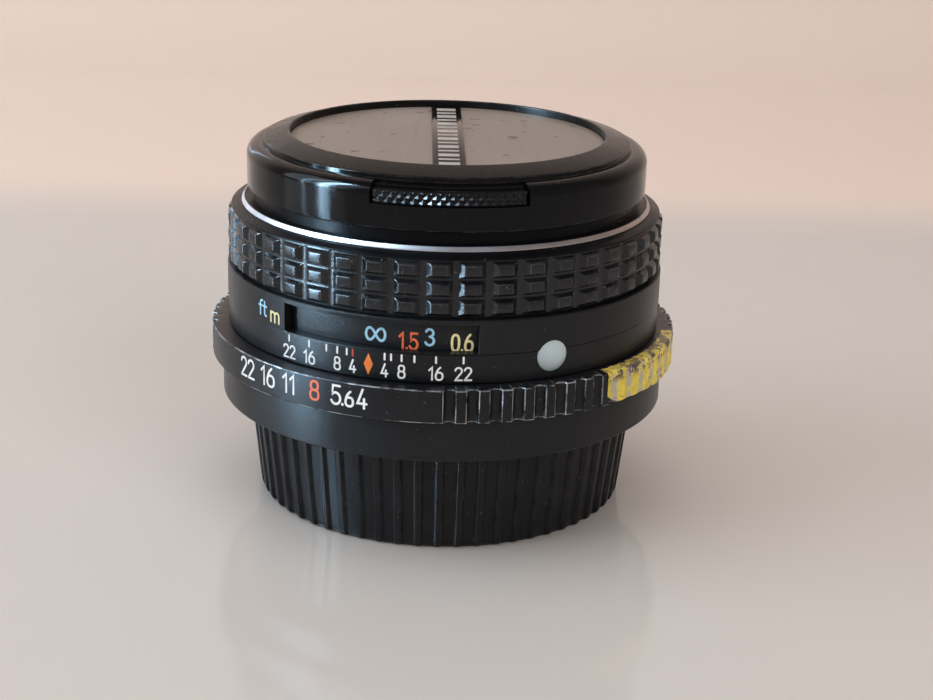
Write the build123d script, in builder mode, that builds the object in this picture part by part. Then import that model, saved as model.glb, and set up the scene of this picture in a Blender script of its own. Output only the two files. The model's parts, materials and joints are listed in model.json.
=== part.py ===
from build123d import *
import os
from math import copysign, cos, radians, sin, sqrt

# A compact wide-angle prime lens, standing on its rear cap with its front cap on.
# Millimetres. Z is the optical axis, Z = 0 is the underside of the rear cap.
# The aperture and focus indexes face -Y. "bearing" is an angle about Z from -Y towards +X.

# ---------------------------------------------------------------- driving dimensions
FLANGE_Z = 14.1            # seat of the bayonet mount
PLATE_TOP = 15.5           # front face of the mount plate
MOUNT_BORE = 21.6
MOUNT_R = 29.0
THROAT_R = 22.9            # tube behind the mount plate, with the lugs on it
THROAT_LOW = 8.6
LUG_R = 24.0
LUG_SPAN = 54.0
BARREL_R = 28.0            # fixed barrel that the aperture ring turns on
RUN = 0.06                 # radial running clearance
FIT = 0.05                 # clearance of a screwed or cemented piece in its seat

BAND_R = 31.5              # raised band of the aperture ring
SKIRT_R = 30.1             # lower skirt of the aperture ring
SKIRT_LOW = 15.0
BAND_LOW = 19.7
BAND_HIGH = 24.0
FLUTE_PITCH = 5.25         # degrees
FLUTE_COUNT = 54
FLUTE_R = 0.75
FIRST_FLUTE = 1.85         # bearing of the first flute, just past the numeral panel

DEPTH_LOW = 24.1           # depth-scale ring
DEPTH_R = 29.2
SEAM_Z = 28.0              # seam between depth-scale ring and window sleeve
SLEEVE_R = 29.32
SLEEVE_HIGH = 32.2
WINDOW_FROM = -41.9        # bearings of the distance window
WINDOW_TO = 8.8
WINDOW_HIGH = 31.85
DRUM_R = 27.9              # distance-scale drum behind the window

GUIDE_INNER = 24.6         # fixed guide tube
GUIDE_OUTER = 25.6
CAM_OUTER = 26.7           # focusing cam tube
FOCUS_TRAVEL = 72.0        # degrees, infinity to the nearest distance
FOCUS_RISE = 2.26          # forward travel of the optics
ROLLER_Z = 29.9
ROLLER_R = 1.2
ROLLER_ANGLES = (30.0, 150.0, 270.0)

GRIP_LOW = 32.5
GRIP_HIGH = 39.55
GRIP_BASE_R = 28.5
GRIP_TOP_R = 29.2
GRIP_COLUMNS = 45
GRIP_ROWS = 3

FILTER_R = 25.7            # ring with the 49 mm filter thread
FILTER_THREAD_R = 24.5
FILTER_FIRST = 41.55       # lowest of the grooves that stand for the thread
FILTER_PITCH = 0.6
FILTER_TURNS = 3
FILTER_LOW = 41.0
FILTER_HIGH = 43.6

CAP_R = 26.65              # front cap
CAP_LOW = 42.46
CAP_TOP = 49.7
CLIP_SPAN = 41.0           # degrees taken by each knurled clip
CLIP_PLAY = 2.2            # degrees that the clip's opening is wider, for its squeeze

APERTURE_TRAVEL = 34.1     # degrees, widest to smallest opening
BLADES = 6
BLADE_PIVOT_R = 9.6
BLADE_PIN_OFFSET = 3.0
BLADE_TRAVEL = 25.2        # degrees each blade turns
BLADE_Z = 26.78
BLADE_STEP = 0.17
BLADE_THICK = 0.1
BLADE_PIN_R = 0.4
BLADE_INNER = 5.1          # a blade's curved band, open
BLADE_OUTER = 8.6
BLADE_FROM = -8.0
BLADE_MIDDLE = 48.0
BLADE_TO = 105.0
CAM_RING_LOW = 27.9
CAM_RING_HIGH = 28.5

MOUNT_SCREWS = 5
MOUNT_SCREW_START = 18.0
MOUNT_SCREW_CIRCLE = 26.8
MOUNT_LUG_ANGLES = (30.0, 150.0, 270.0)
CAP_LUG_ANGLES = (90.0, 210.0, 330.0)
REAR_CAP_RIBS = 60


# ---------------------------------------------------------------- shared shapes
def turned(corners):
    """A solid turned about Z from its half section, given as (radius, height) corners."""
    with BuildPart(mode=Mode.PRIVATE) as solid:
        with BuildSketch(Plane.XZ):
            with BuildLine():
                Polyline(*corners, close=True)
            make_face()
        revolve(axis=Axis.Z)
    return solid.part


def ring(inner, outer, low, high):
    """A plain ring about Z."""
    return turned([(inner, low), (outer, low), (outer, high), (inner, high)])


def sector(inner, outer, low, high, middle, span):
    """Part of a ring, centred on the angle middle (from +X) and span degrees long."""
    with BuildPart(mode=Mode.PRIVATE) as block:
        with BuildSketch(Plane.XZ):
            with Locations(((inner + outer) / 2, (low + high) / 2)):
                Rectangle(outer - inner, high - low)
        revolve(axis=Axis.Z, revolution_arc=span)
    return block.part.rotate(Axis.Z, middle - span / 2)


def radial_rod(radius, start, end, angle, height):
    """A round rod that points away from Z."""
    with BuildPart(Plane.YZ.offset(start), mode=Mode.PRIVATE) as rod:
        Cylinder(radius, end - start, align=(Align.CENTER, Align.CENTER, Align.MIN))
    return rod.part.translate((0, 0, height)).rotate(Axis.Z, angle)


def upright_rod(radius, low, high, circle, angle):
    """A round rod parallel to Z."""
    with BuildPart(Plane.XY.offset(low), mode=Mode.PRIVATE) as rod:
        with Locations((circle, 0)):
            Cylinder(radius, high - low, align=(Align.CENTER, Align.CENTER, Align.MIN))
    return rod.part.rotate(Axis.Z, angle)


def radial_block(start, end, width, low, high, angle):
    """A rectangular block that points away from Z."""
    with BuildPart(mode=Mode.PRIVATE) as block:
        with BuildSketch(Plane.XY.offset(low)):
            with Locations(((start + end) / 2, 0)):
                Rectangle(end - start, width)
        extrude(amount=high - low)
    return block.part.rotate(Axis.Z, angle)


def coil(radius, wire, pitch, length):
    """A wire coil that stands on the origin along +Z."""
    with BuildPart(mode=Mode.PRIVATE) as spring:
        with BuildLine():
            turns = Helix(pitch=pitch, height=length, radius=radius)
        with BuildSketch(Plane(origin=turns @ 0, z_dir=turns % 0)):
            Circle(wire)
        sweep(path=turns, is_frenet=True)
    return spring.part


def face_height(vertex, curve, distance):
    """Height of a spherical face at a distance from Z; it domes upwards when curve is positive."""
    sag = abs(curve) - sqrt(curve ** 2 - distance ** 2)
    return vertex - copysign(sag, curve)


def lens_element(rim, front, front_curve, rear, rear_curve, rear_rim):
    """A glass element. A rear face smaller than the rim leaves a flat ring around it."""
    front_edge = face_height(front, front_curve, rim)
    rear_edge = face_height(rear, rear_curve, rear_rim)
    with BuildPart(mode=Mode.PRIVATE) as glass:
        with BuildSketch(Plane.XZ):
            with BuildLine():
                ThreePointArc(
                    (0, front), (rim / 2, face_height(front, front_curve, rim / 2)), (rim, front_edge)
                )
                Line((rim, front_edge), (rim, rear_edge))
                if rear_rim < rim:
                    Line((rim, rear_edge), (rear_rim, rear_edge))
                ThreePointArc(
                    (rear_rim, rear_edge),
                    (rear_rim / 2, face_height(rear, rear_curve, rear_rim / 2)),
                    (0, rear),
                )
                Line((0, rear), (0, front))
            make_face()
        revolve(axis=Axis.Z)
    return glass.part


def on_circle(radius, angle):
    """A point in the XY plane at an angle from +X."""
    return (radius * cos(radians(angle)), radius * sin(radians(angle)))


def around(count, start=0.0):
    """Angles of count equal places about Z."""
    return [start + 360.0 * place / count for place in range(count)]


def from_bearing(bearing):
    """The angle from +X of a bearing from -Y."""
    return bearing - 90.0


os.makedirs("parts", exist_ok=True)


def finish(piece, name):
    """Label a finished piece and write it to its own file."""
    piece.part.label = name
    export_step(piece.part, "parts/" + name + ".step")


# ---------------------------------------------------------------- fixed barrel
with BuildPart() as mount_plate:
    add(ring(MOUNT_BORE, MOUNT_R, FLANGE_Z, PLATE_TOP))
    add(ring(MOUNT_BORE, THROAT_R, THROAT_LOW, FLANGE_Z))
    for angle in MOUNT_LUG_ANGLES:
        add(sector(THROAT_R - 0.1, LUG_R, THROAT_LOW + 0.4, THROAT_LOW + 1.9, angle, LUG_SPAN))
    countersink = turned([(0, 14.0), (1.6, 14.0), (0.75, 14.9), (0.75, 15.6), (0, 15.6)])
    for angle in around(MOUNT_SCREWS, MOUNT_SCREW_START):
        add(countersink.translate((MOUNT_SCREW_CIRCLE, 0, 0)).rotate(Axis.Z, angle), mode=Mode.SUBTRACT)
finish(mount_plate, "mount_plate")

with BuildPart() as mount_screws:
    screw = turned([
        (0, 14.45), (0.55, 14.35), (0.6, 14.15), (1.4, 14.15), (0.68, 14.9), (0.68, 17.8), (0, 17.8),
    ])
    for angle in around(MOUNT_SCREWS, MOUNT_SCREW_START):
        add(screw.translate((MOUNT_SCREW_CIRCLE, 0, 0)).rotate(Axis.Z, angle))
finish(mount_screws, "mount_screws")

COUPLING_ANGLE = 90.0      # the aperture ring's tab stands at the back
COUPLING_SLOT = (COUPLING_ANGLE + APERTURE_TRAVEL / 2, APERTURE_TRAVEL + 9.5)
CLICK_ANGLE = 180.0
CLICK_Z = 18.2
CLICK_BALL_R = 0.7
CLICK_BALL_Z = CLICK_Z + 0.5

with BuildPart() as rear_barrel:
    add(turned([
        (22.2, PLATE_TOP), (BARREL_R, PLATE_TOP), (BARREL_R, DEPTH_LOW), (27.55, DEPTH_LOW),
        (27.55, 27.9), (GUIDE_OUTER + FIT, 27.9), (GUIDE_OUTER + FIT, 17.9), (22.2, 17.9),
    ]))
    for angle in around(MOUNT_SCREWS, MOUNT_SCREW_START):
        add(upright_rod(0.75, 15.4, 18.0, MOUNT_SCREW_CIRCLE, angle), mode=Mode.SUBTRACT)
    add(sector(25.0, 28.5, 19.8, 21.8, *COUPLING_SLOT), mode=Mode.SUBTRACT)
    add(radial_rod(CLICK_BALL_R + 0.08, 25.0, 28.5, CLICK_ANGLE, CLICK_BALL_Z), mode=Mode.SUBTRACT)
finish(rear_barrel, "rear_barrel")

SPRING_POST_ANGLE = -10.0
SPRING_POST_R = 20.5
SPRING_Z = 20.3

with BuildPart() as guide_tube:
    add(ring(GUIDE_INNER, GUIDE_OUTER, 17.95, 38.3))
    add(radial_rod(0.5, SPRING_POST_R - 0.4, 25.0, SPRING_POST_ANGLE, SPRING_Z))
    add(sector(24.0, 26.0, 19.8, 21.8, *COUPLING_SLOT), mode=Mode.SUBTRACT)
    slot_half = ROLLER_R + RUN
    for angle in ROLLER_ANGLES:
        slot_top = ROLLER_Z + FOCUS_RISE
        add(radial_block(24.0, 26.0, 2 * slot_half, ROLLER_Z, slot_top, angle), mode=Mode.SUBTRACT)
        for slot_end in (ROLLER_Z, slot_top):
            add(radial_rod(slot_half, 24.0, 26.0, angle, slot_end), mode=Mode.SUBTRACT)
finish(guide_tube, "guide_tube")

with BuildPart() as retaining_ring:
    add(ring(GUIDE_OUTER + FIT, 26.6, 34.4, 35.3))
finish(retaining_ring, "retaining_ring")

BEAD_BEARING = 27.7
BEAD_Z = 27.06
BEAD_R = 2.08
bead_hole = radial_rod(BEAD_R + 0.03, 28.25, 31.0, from_bearing(BEAD_BEARING), BEAD_Z)

with BuildPart() as depth_scale_ring:
    add(turned([
        (27.6, DEPTH_LOW + 0.02), (DEPTH_R - 0.15, DEPTH_LOW), (DEPTH_R, DEPTH_LOW + 0.15),
        (DEPTH_R, SEAM_Z - 0.12), (DEPTH_R - 0.12, SEAM_Z - 0.02), (28.2, SEAM_Z - 0.02),
        (28.2, 25.9), (27.6, 25.9),
    ]))
    add(bead_hole, mode=Mode.SUBTRACT)
finish(depth_scale_ring, "depth_scale_ring")

with BuildPart() as window_sleeve:
    add(turned([
        (27.6, 25.95), (28.15, 25.95), (28.15, SEAM_Z), (SLEEVE_R - 0.1, SEAM_Z),
        (SLEEVE_R, SEAM_Z + 0.1), (SLEEVE_R, SLEEVE_HIGH - 0.15), (SLEEVE_R - 0.15, SLEEVE_HIGH),
        (28.15, SLEEVE_HIGH), (28.15, 28.25), (27.6, 28.25),
    ]))
    window_middle = from_bearing((WINDOW_FROM + WINDOW_TO) / 2)
    add(
        sector(28.0, 30.0, SEAM_Z + 0.12, WINDOW_HIGH, window_middle, WINDOW_TO - WINDOW_FROM),
        mode=Mode.SUBTRACT,
    )
    add(bead_hole, mode=Mode.SUBTRACT)
finish(window_sleeve, "window_sleeve")

BEAD_SIDE = 0.9            # height of the bead's straight side
BEAD_TOP = 1.75            # height of its crown
bead_curve = (BEAD_R ** 2 + (BEAD_TOP - BEAD_SIDE) ** 2) / (2 * (BEAD_TOP - BEAD_SIDE))
with BuildPart() as alignment_bead:
    with BuildSketch(Plane.XZ):
        with BuildLine():
            Polyline((0, BEAD_TOP), (0, 0), (BEAD_R, 0), (BEAD_R, BEAD_SIDE))
            bead_middle = (BEAD_R / 2, face_height(BEAD_TOP, bead_curve, BEAD_R / 2))
            ThreePointArc((BEAD_R, BEAD_SIDE), bead_middle, (0, BEAD_TOP))
        make_face()
    revolve(axis=Axis.Z)
alignment_bead.part = (
    alignment_bead.part.rotate(Axis.Y, 90)
    .translate((28.3, 0, BEAD_Z))
    .rotate(Axis.Z, from_bearing(BEAD_BEARING))
)
finish(alignment_bead, "alignment_bead")

with BuildPart() as click_ball:
    Sphere(CLICK_BALL_R)
click_ball.part = click_ball.part.translate((27.55, 0, CLICK_BALL_Z)).rotate(Axis.Z, CLICK_ANGLE)
finish(click_ball, "click_ball")

with BuildPart() as click_spring:
    add(coil(0.5, 0.1, 0.32, 0.8))
click_spring.part = (
    click_spring.part.rotate(Axis.Y, 90).translate((25.85, 0, CLICK_BALL_Z)).rotate(Axis.Z, CLICK_ANGLE)
)
finish(click_spring, "click_spring")

# ---------------------------------------------------------------- aperture ring
with BuildPart() as aperture_ring:
    edge = 0.22
    ring_bore = BARREL_R + RUN
    add(turned([
        (ring_bore, 15.62), (29.2, 15.62), (29.2, SKIRT_LOW), (SKIRT_R - 0.2, SKIRT_LOW),
        (SKIRT_R, SKIRT_LOW + 0.2), (SKIRT_R, BAND_LOW), (BAND_R - edge, BAND_LOW),
        (BAND_R, BAND_LOW + edge), (BAND_R, BAND_HIGH - edge), (BAND_R - edge, BAND_HIGH),
        (ring_bore, BAND_HIGH), (ring_bore, CLICK_Z + 1.45), (28.35, CLICK_Z + 1.35),
        (28.35, CLICK_Z - 0.35), (ring_bore, CLICK_Z - 0.45),
    ]))
    for place in range(FLUTE_COUNT):
        flute_angle = from_bearing(FIRST_FLUTE + place * FLUTE_PITCH)
        flute = upright_rod(FLUTE_R, BAND_LOW - 0.1, BAND_HIGH + 0.1, BAND_R + 0.05, flute_angle)
        add(flute, mode=Mode.SUBTRACT)
finish(aperture_ring, "aperture_ring")

with BuildPart() as aperture_tab:
    add(radial_block(23.9, 27.95, 3.0, 20.0, 21.6, COUPLING_ANGLE))
finish(aperture_tab, "aperture_tab")

STICKER_FROM = 41.5
STICKER_TO = 80.0
STICKER_GAP = 0.02
STICKER_OUT = 0.17         # outer face of the film, above the band
STICKER_FOLD_R = 29.7      # where the film that is folded over the band's top ends
with BuildPart() as label_sticker:
    place = (from_bearing((STICKER_FROM + STICKER_TO) / 2), STICKER_TO - STICKER_FROM)
    film_r = BAND_R + STICKER_OUT
    film_top = BAND_HIGH + STICKER_OUT
    add(sector(BAND_R + STICKER_GAP, film_r, BAND_LOW + 0.1, film_top, *place))
    add(sector(STICKER_FOLD_R, film_r, BAND_HIGH + STICKER_GAP, film_top, *place))
finish(label_sticker, "label_sticker")

# ---------------------------------------------------------------- iris linkage
PRONG_ANGLE = 0.0
RING_POST_ANGLE = -60.0
with BuildPart() as linkage_ring:
    add(ring(16.4, 24.5, 18.0, 19.0))
    ear = radial_block(22.6, 24.4, 1.2, 18.9, 21.6, 0)
    for side in (-1, 1):
        add(ear.translate((0, side * 2.15, 0)).rotate(Axis.Z, COUPLING_ANGLE))
    add(radial_block(16.4, 17.5, 2.0, 18.9, 31.0, PRONG_ANGLE))
    add(upright_rod(0.5, 18.9, SPRING_Z + 1.0, SPRING_POST_R, RING_POST_ANGLE))
finish(linkage_ring, "linkage_ring")

with BuildPart() as stop_down_lever:
    add(radial_block(17.0, 20.6, 5.0, 17.3, 17.98, 200))
    add(radial_block(19.4, 20.6, 1.8, 10.8, 17.4, 200))
finish(stop_down_lever, "stop_down_lever")

with BuildPart() as lever_spring:
    post_gap = 2 * SPRING_POST_R * sin(radians((SPRING_POST_ANGLE - RING_POST_ANGLE) / 2))
    spring_length = post_gap - 2.6
    add(coil(0.75, 0.18, 1.15, spring_length))
chord_angle = (SPRING_POST_ANGLE + RING_POST_ANGLE) / 2
chord_r = SPRING_POST_R * cos(radians((SPRING_POST_ANGLE - RING_POST_ANGLE) / 2))
lever_spring.part = (
    lever_spring.part.rotate(Axis.X, -90)
    .translate((chord_r, -spring_length / 2, SPRING_Z + 0.1))
    .rotate(Axis.Z, chord_angle)
)
finish(lever_spring, "lever_spring")

# ---------------------------------------------------------------- iris
HOUSING_R = 13.6
HOUSING_INNER = 12.9
tab_window = (PRONG_ANGLE + APERTURE_TRAVEL / 2, APERTURE_TRAVEL + 24.0)
with BuildPart() as iris_housing:
    add(ring(5.3, HOUSING_R, 26.0, 26.7))
    add(ring(HOUSING_INNER, HOUSING_R, 26.6, 31.95))
    add(sector(12.0, 14.5, CAM_RING_LOW - 0.1, CAM_RING_HIGH + 0.08, *tab_window), mode=Mode.SUBTRACT)
    for angle in around(BLADES):
        add(upright_rod(BLADE_PIN_R + RUN, 25.9, 26.8, BLADE_PIVOT_R, angle), mode=Mode.SUBTRACT)
finish(iris_housing, "iris_housing")


def iris_blade(place):
    """One blade: a curved band, its ear and tail, a pivot pin below and a cam pin above."""
    level = BLADE_Z + place * BLADE_STEP
    with BuildPart(mode=Mode.PRIVATE) as blade:
        with BuildSketch(Plane.XY.offset(level)):
            with BuildLine():
                sides = (BLADE_FROM, BLADE_MIDDLE, BLADE_TO)
                inner = [on_circle(BLADE_INNER, side) for side in sides]
                outer = [on_circle(BLADE_OUTER, side) for side in reversed(sides)]
                ThreePointArc(*inner)
                Line(inner[2], outer[0])
                ThreePointArc(*outer)
                Line(outer[2], inner[0])
            make_face()
            with Locations((BLADE_PIVOT_R, 0)):
                Circle(1.15)
            with Locations((BLADE_PIVOT_R - 0.9, 0)):
                Rectangle(1.2, 2.0)
            with Locations((BLADE_PIVOT_R, -BLADE_PIN_OFFSET / 2)):
                Rectangle(1.5, BLADE_PIN_OFFSET)
            with Locations((BLADE_PIVOT_R, -BLADE_PIN_OFFSET)):
                Circle(0.75)
        extrude(amount=BLADE_THICK)
        with BuildSketch(Plane.XY.offset(26.1)):
            with Locations((BLADE_PIVOT_R, 0)):
                Circle(BLADE_PIN_R)
        extrude(amount=level - 26.05)
        with BuildSketch(Plane.XY.offset(level + BLADE_THICK / 2)):
            with Locations((BLADE_PIVOT_R, -BLADE_PIN_OFFSET)):
                Circle(BLADE_PIN_R)
        extrude(amount=CAM_RING_HIGH - 0.1 - level)
    return blade.part.rotate(Axis.Z, 360.0 * place / BLADES)


for place in range(BLADES):
    with BuildPart() as blade_piece:
        add(iris_blade(place))
    finish(blade_piece, "iris_blade_" + str(place + 1))


def cam_path_point(share):
    """Where a cam pin stands in the cam ring, a share of the way from open to closed."""
    blade_turn = radians(BLADE_TRAVEL * share)
    ring_turn = radians(APERTURE_TRAVEL * share)
    x = BLADE_PIVOT_R + BLADE_PIN_OFFSET * sin(blade_turn)
    y = -BLADE_PIN_OFFSET * cos(blade_turn)
    return (
        x * cos(ring_turn) + y * sin(ring_turn),
        y * cos(ring_turn) - x * sin(ring_turn),
    )


cam_path = ThreePointArc(cam_path_point(0), cam_path_point(0.5), cam_path_point(1), mode=Mode.PRIVATE)
FORK_GAP = 2.12            # the cam ring's fork straddles the linkage prong
with BuildPart() as iris_cam_ring:
    add(ring(9.2, HOUSING_INNER - 0.08, CAM_RING_LOW, CAM_RING_HIGH))
    add(radial_block(12.4, 18.4, 4.6, CAM_RING_LOW, CAM_RING_HIGH, PRONG_ANGLE))
    fork = radial_block(16.2, 19.0, FORK_GAP, CAM_RING_LOW - 0.1, CAM_RING_HIGH + 0.1, PRONG_ANGLE)
    add(fork, mode=Mode.SUBTRACT)
    with BuildSketch(Plane.XY.offset(CAM_RING_LOW - 0.1)):
        with PolarLocations(0, BLADES):
            SlotArc(cam_path, 2 * (BLADE_PIN_R + RUN))
    extrude(amount=1.0, mode=Mode.SUBTRACT)
finish(iris_cam_ring, "iris_cam_ring")

with BuildPart() as iris_retainer:
    add(ring(9.6, HOUSING_INNER - FIT, 28.6, 29.1))
finish(iris_retainer, "iris_retainer")

# ---------------------------------------------------------------- optics barrel
BARREL_TOP = 39.05
FRONT_SCREW_CIRCLE = 23.78
FRONT_SCREW_ANGLES = around(3, 60)
with BuildPart() as lens_barrel:
    add(turned([
        (23.05, 23.5), (24.5, 23.5), (24.5, BARREL_TOP), (23.05, BARREL_TOP),
        (23.05, 33.2), (12.5, 33.2), (12.5, 32.0), (23.05, 32.0),
    ]))
    for angle in ROLLER_ANGLES:
        add(radial_rod(0.8, 22.5, 25.0, angle, ROLLER_Z), mode=Mode.SUBTRACT)
    for angle in FRONT_SCREW_ANGLES:
        add(upright_rod(0.5, 37.1, 39.2, FRONT_SCREW_CIRCLE, angle), mode=Mode.SUBTRACT)
finish(lens_barrel, "lens_barrel")

with BuildPart() as cam_rollers:
    for angle in ROLLER_ANGLES:
        add(radial_rod(0.75, 23.2, 24.8, angle, ROLLER_Z))
        add(radial_rod(ROLLER_R, 24.65, 26.55, angle, ROLLER_Z))
finish(cam_rollers, "cam_rollers")

with BuildPart() as front_barrel:
    add(turned([
        (22.6, 39.1), (25.9, 39.1), (25.9, 35.6), (26.7, 35.6), (26.7, 40.3), (22.6, 40.3),
    ]))
    for angle in FRONT_SCREW_ANGLES:
        add(upright_rod(0.55, 39.0, 40.4, FRONT_SCREW_CIRCLE, angle), mode=Mode.SUBTRACT)
        add(upright_rod(0.95, 39.7, 40.4, FRONT_SCREW_CIRCLE, angle), mode=Mode.SUBTRACT)
finish(front_barrel, "front_barrel")

with BuildPart() as front_barrel_screws:
    for angle in FRONT_SCREW_ANGLES:
        add(upright_rod(0.45, 37.2, 39.9, FRONT_SCREW_CIRCLE, angle))
        add(upright_rod(0.88, 39.75, 40.25, FRONT_SCREW_CIRCLE, angle))
finish(front_barrel_screws, "front_barrel_screws")

with BuildPart() as bright_ring:
    add(turned([(24.95, 40.32), (27.4, 40.32), (27.35, 40.5), (27.0, 40.98), (24.95, 40.98)]))
finish(bright_ring, "bright_ring")

with BuildPart() as filter_ring:
    add(turned([
        (24.2, 40.32), (24.9, 40.32), (24.9, FILTER_LOW), (FILTER_R, FILTER_LOW),
        (FILTER_R, FILTER_HIGH - 0.15), (FILTER_R - 0.15, FILTER_HIGH), (24.3, FILTER_HIGH),
        (24.2, FILTER_HIGH - 0.1),
    ]))
    for turn in range(FILTER_TURNS):
        groove = FILTER_FIRST + FILTER_PITCH * turn
        add(
            turned([(24.0, groove - 0.15), (24.2, groove - 0.25), (FILTER_THREAD_R, groove),
                    (24.2, groove + 0.25), (24.0, groove + 0.15)]),
            mode=Mode.SUBTRACT,
        )
finish(filter_ring, "filter_ring")

with BuildPart() as front_bezel:
    add(turned([
        (19.9, 40.32), (24.15, 40.34), (24.15, 41.2), (23.5, 41.2), (22.8, 41.05), (22.8, 40.95),
        (21.4, 40.8), (21.4, 40.72), (19.9, 40.6),
    ]))
finish(front_bezel, "front_bezel")

with BuildPart() as front_cell:
    add(turned([
        (22.5, 33.25), (22.5, 40.25), (21.05, 40.25), (21.05, 39.9), (19.55, 39.9), (19.55, 34.56),
        (12.85, 34.56), (12.85, 33.74), (8.65, 33.74), (8.65, 28.66), (6.66, 28.66), (6.66, 28.0),
        (9.0, 28.0), (9.0, 33.25),
    ]))
finish(front_cell, "front_cell")

with BuildPart() as front_retaining_ring:
    add(ring(18.95, 21.0, 39.95, 40.22))
    for side in (0, 180):
        add(radial_block(18.5, 20.0, 1.2, 40.05, 40.4, side), mode=Mode.SUBTRACT)
finish(front_retaining_ring, "front_retaining_ring")

with BuildPart() as rear_cell:
    add(turned([
        (9.55, 14.9), (10.6, 14.9), (12.4, 17.0), (12.4, 25.95), (5.4, 25.95), (5.4, 25.65),
        (6.05, 25.65), (6.05, 23.0), (6.65, 23.0), (6.65, 21.27), (8.05, 21.27), (8.05, 19.2),
        (9.55, 19.2),
    ]))
finish(rear_cell, "rear_cell")

with BuildPart() as element_spacers:
    add(turned([(6.1, 20.02), (7.95, 20.36), (7.95, 21.22), (6.65, 21.22), (6.1, 21.12)]))
    add(turned([(7.6, 16.82), (9.5, 16.45), (9.5, 19.15), (8.1, 19.15), (7.6, 19.0)]))
finish(element_spacers, "element_spacers")

with BuildPart() as rear_retaining_ring:
    add(turned([(8.7, 14.95), (9.5, 14.95), (9.5, 15.5), (8.7, 15.32)]))
    for side in (0, 180):
        add(radial_block(8.0, 10.0, 0.8, 14.8, 15.1, side), mode=Mode.SUBTRACT)
finish(rear_retaining_ring, "rear_retaining_ring")

# rim radius, front vertex, front curve, rear vertex, rear curve, rear face radius
ELEMENTS = (
    (19.5, 42.9, 60.0, 41.3, 18.0, 14.0),
    (12.8, 38.2, 30.0, 34.2, 200.0, 12.8),
    (8.6, 33.2, 30.0, 32.0, 9.5, 7.2),
    (6.6, 31.0, 12.0, 28.2, -100.0, 6.6),
    (6.0, 24.87, -25.0, 24.07, 18.0, 6.0),
    (6.6, 23.9, 16.0, 20.57, -30.0, 6.6),
    (8.0, 19.5, -40.0, 17.7, -22.0, 8.0),
    (9.5, 17.4, 45.0, 14.29, -35.0, 9.5),
)
for number, sizes in enumerate(ELEMENTS, start=1):
    with BuildPart() as glass_element:
        add(lens_element(*sizes))
    finish(glass_element, "lens_element_" + str(number))

# ---------------------------------------------------------------- focusing ring
CAM_R = (GUIDE_OUTER + RUN + CAM_OUTER) / 2


def helical_slot():
    """Cutter for one cam slot: it climbs FOCUS_RISE over FOCUS_TRAVEL, with round ends."""
    half = ROLLER_R + RUN
    with BuildPart(mode=Mode.PRIVATE) as cutter:
        with BuildLine():
            climb = Helix(pitch=FOCUS_RISE * 360 / FOCUS_TRAVEL, height=FOCUS_RISE, radius=CAM_R)
        with BuildSketch(Plane(origin=climb @ 0, x_dir=(1, 0, 0), z_dir=climb % 0)):
            Rectangle(3.0, 2 * half)
        sweep(path=climb, is_frenet=True)
        add(radial_rod(half, CAM_R - 1.5, CAM_R + 1.5, 0, 0))
        add(radial_rod(half, CAM_R - 1.5, CAM_R + 1.5, FOCUS_TRAVEL, FOCUS_RISE))
    return cutter.part.translate((0, 0, ROLLER_Z))


SCREW_ANGLES = [angle - 22.0 for angle in ROLLER_ANGLES]
SCREW_Z = 32.75
SET_SCREW_R = 0.45
with BuildPart() as cam_tube:
    add(ring(GUIDE_OUTER + RUN, CAM_OUTER, 28.0, 34.3))
    slot_cutter = helical_slot()
    for angle in ROLLER_ANGLES:
        add(slot_cutter.rotate(Axis.Z, angle), mode=Mode.SUBTRACT)
    for angle in SCREW_ANGLES:
        add(radial_rod(SET_SCREW_R + FIT, 25.0, 27.5, angle, SCREW_Z), mode=Mode.SUBTRACT)
finish(cam_tube, "cam_tube")

with BuildPart() as distance_drum:
    add(ring(27.1, DRUM_R, 28.35, 32.08))
finish(distance_drum, "distance_drum")

with BuildPart() as grip_base:
    add(turned([
        (CAM_OUTER + FIT, 32.1), (27.9, 32.1), (27.9, 39.6), (27.0, 39.6), (27.0, 33.4),
        (CAM_OUTER + FIT, 33.4),
    ]))
    for angle in SCREW_ANGLES:
        add(radial_rod(SET_SCREW_R + FIT, 26.0, 28.5, angle, SCREW_Z), mode=Mode.SUBTRACT)
finish(grip_base, "grip_base")

with BuildPart() as grip_set_screws:
    for angle in SCREW_ANGLES:
        add(radial_rod(SET_SCREW_R, 25.9, 27.85, angle, SCREW_Z))
        add(radial_block(27.4, 28.0, 0.2, SCREW_Z - 0.25, SCREW_Z + 0.25, angle), mode=Mode.SUBTRACT)
finish(grip_set_screws, "grip_set_screws")


GRIP_FIRST = -13.1         # bearing of one channel
GRIP_FLOOR = 0.4           # half width of a channel's floor and of its mouth
GRIP_MOUTH = 1.0
ROW_FLOOR = 0.18           # the same for the grooves between the rows
ROW_MOUTH = 0.65


def grip_channel():
    """Cutter for one upright channel between two columns of grip blocks."""
    with BuildPart(mode=Mode.PRIVATE) as cutter:
        with BuildSketch(Plane.XY.offset(GRIP_LOW - 0.5)):
            with BuildLine():
                Polyline(
                    (GRIP_BASE_R, -GRIP_FLOOR), (GRIP_TOP_R, -GRIP_MOUTH), (GRIP_TOP_R + 0.2, -GRIP_MOUTH),
                    (GRIP_TOP_R + 0.2, GRIP_MOUTH), (GRIP_TOP_R, GRIP_MOUTH), (GRIP_BASE_R, GRIP_FLOOR),
                    close=True,
                )
            make_face()
        extrude(amount=GRIP_HIGH - GRIP_LOW + 1.0)
    return cutter.part


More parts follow.
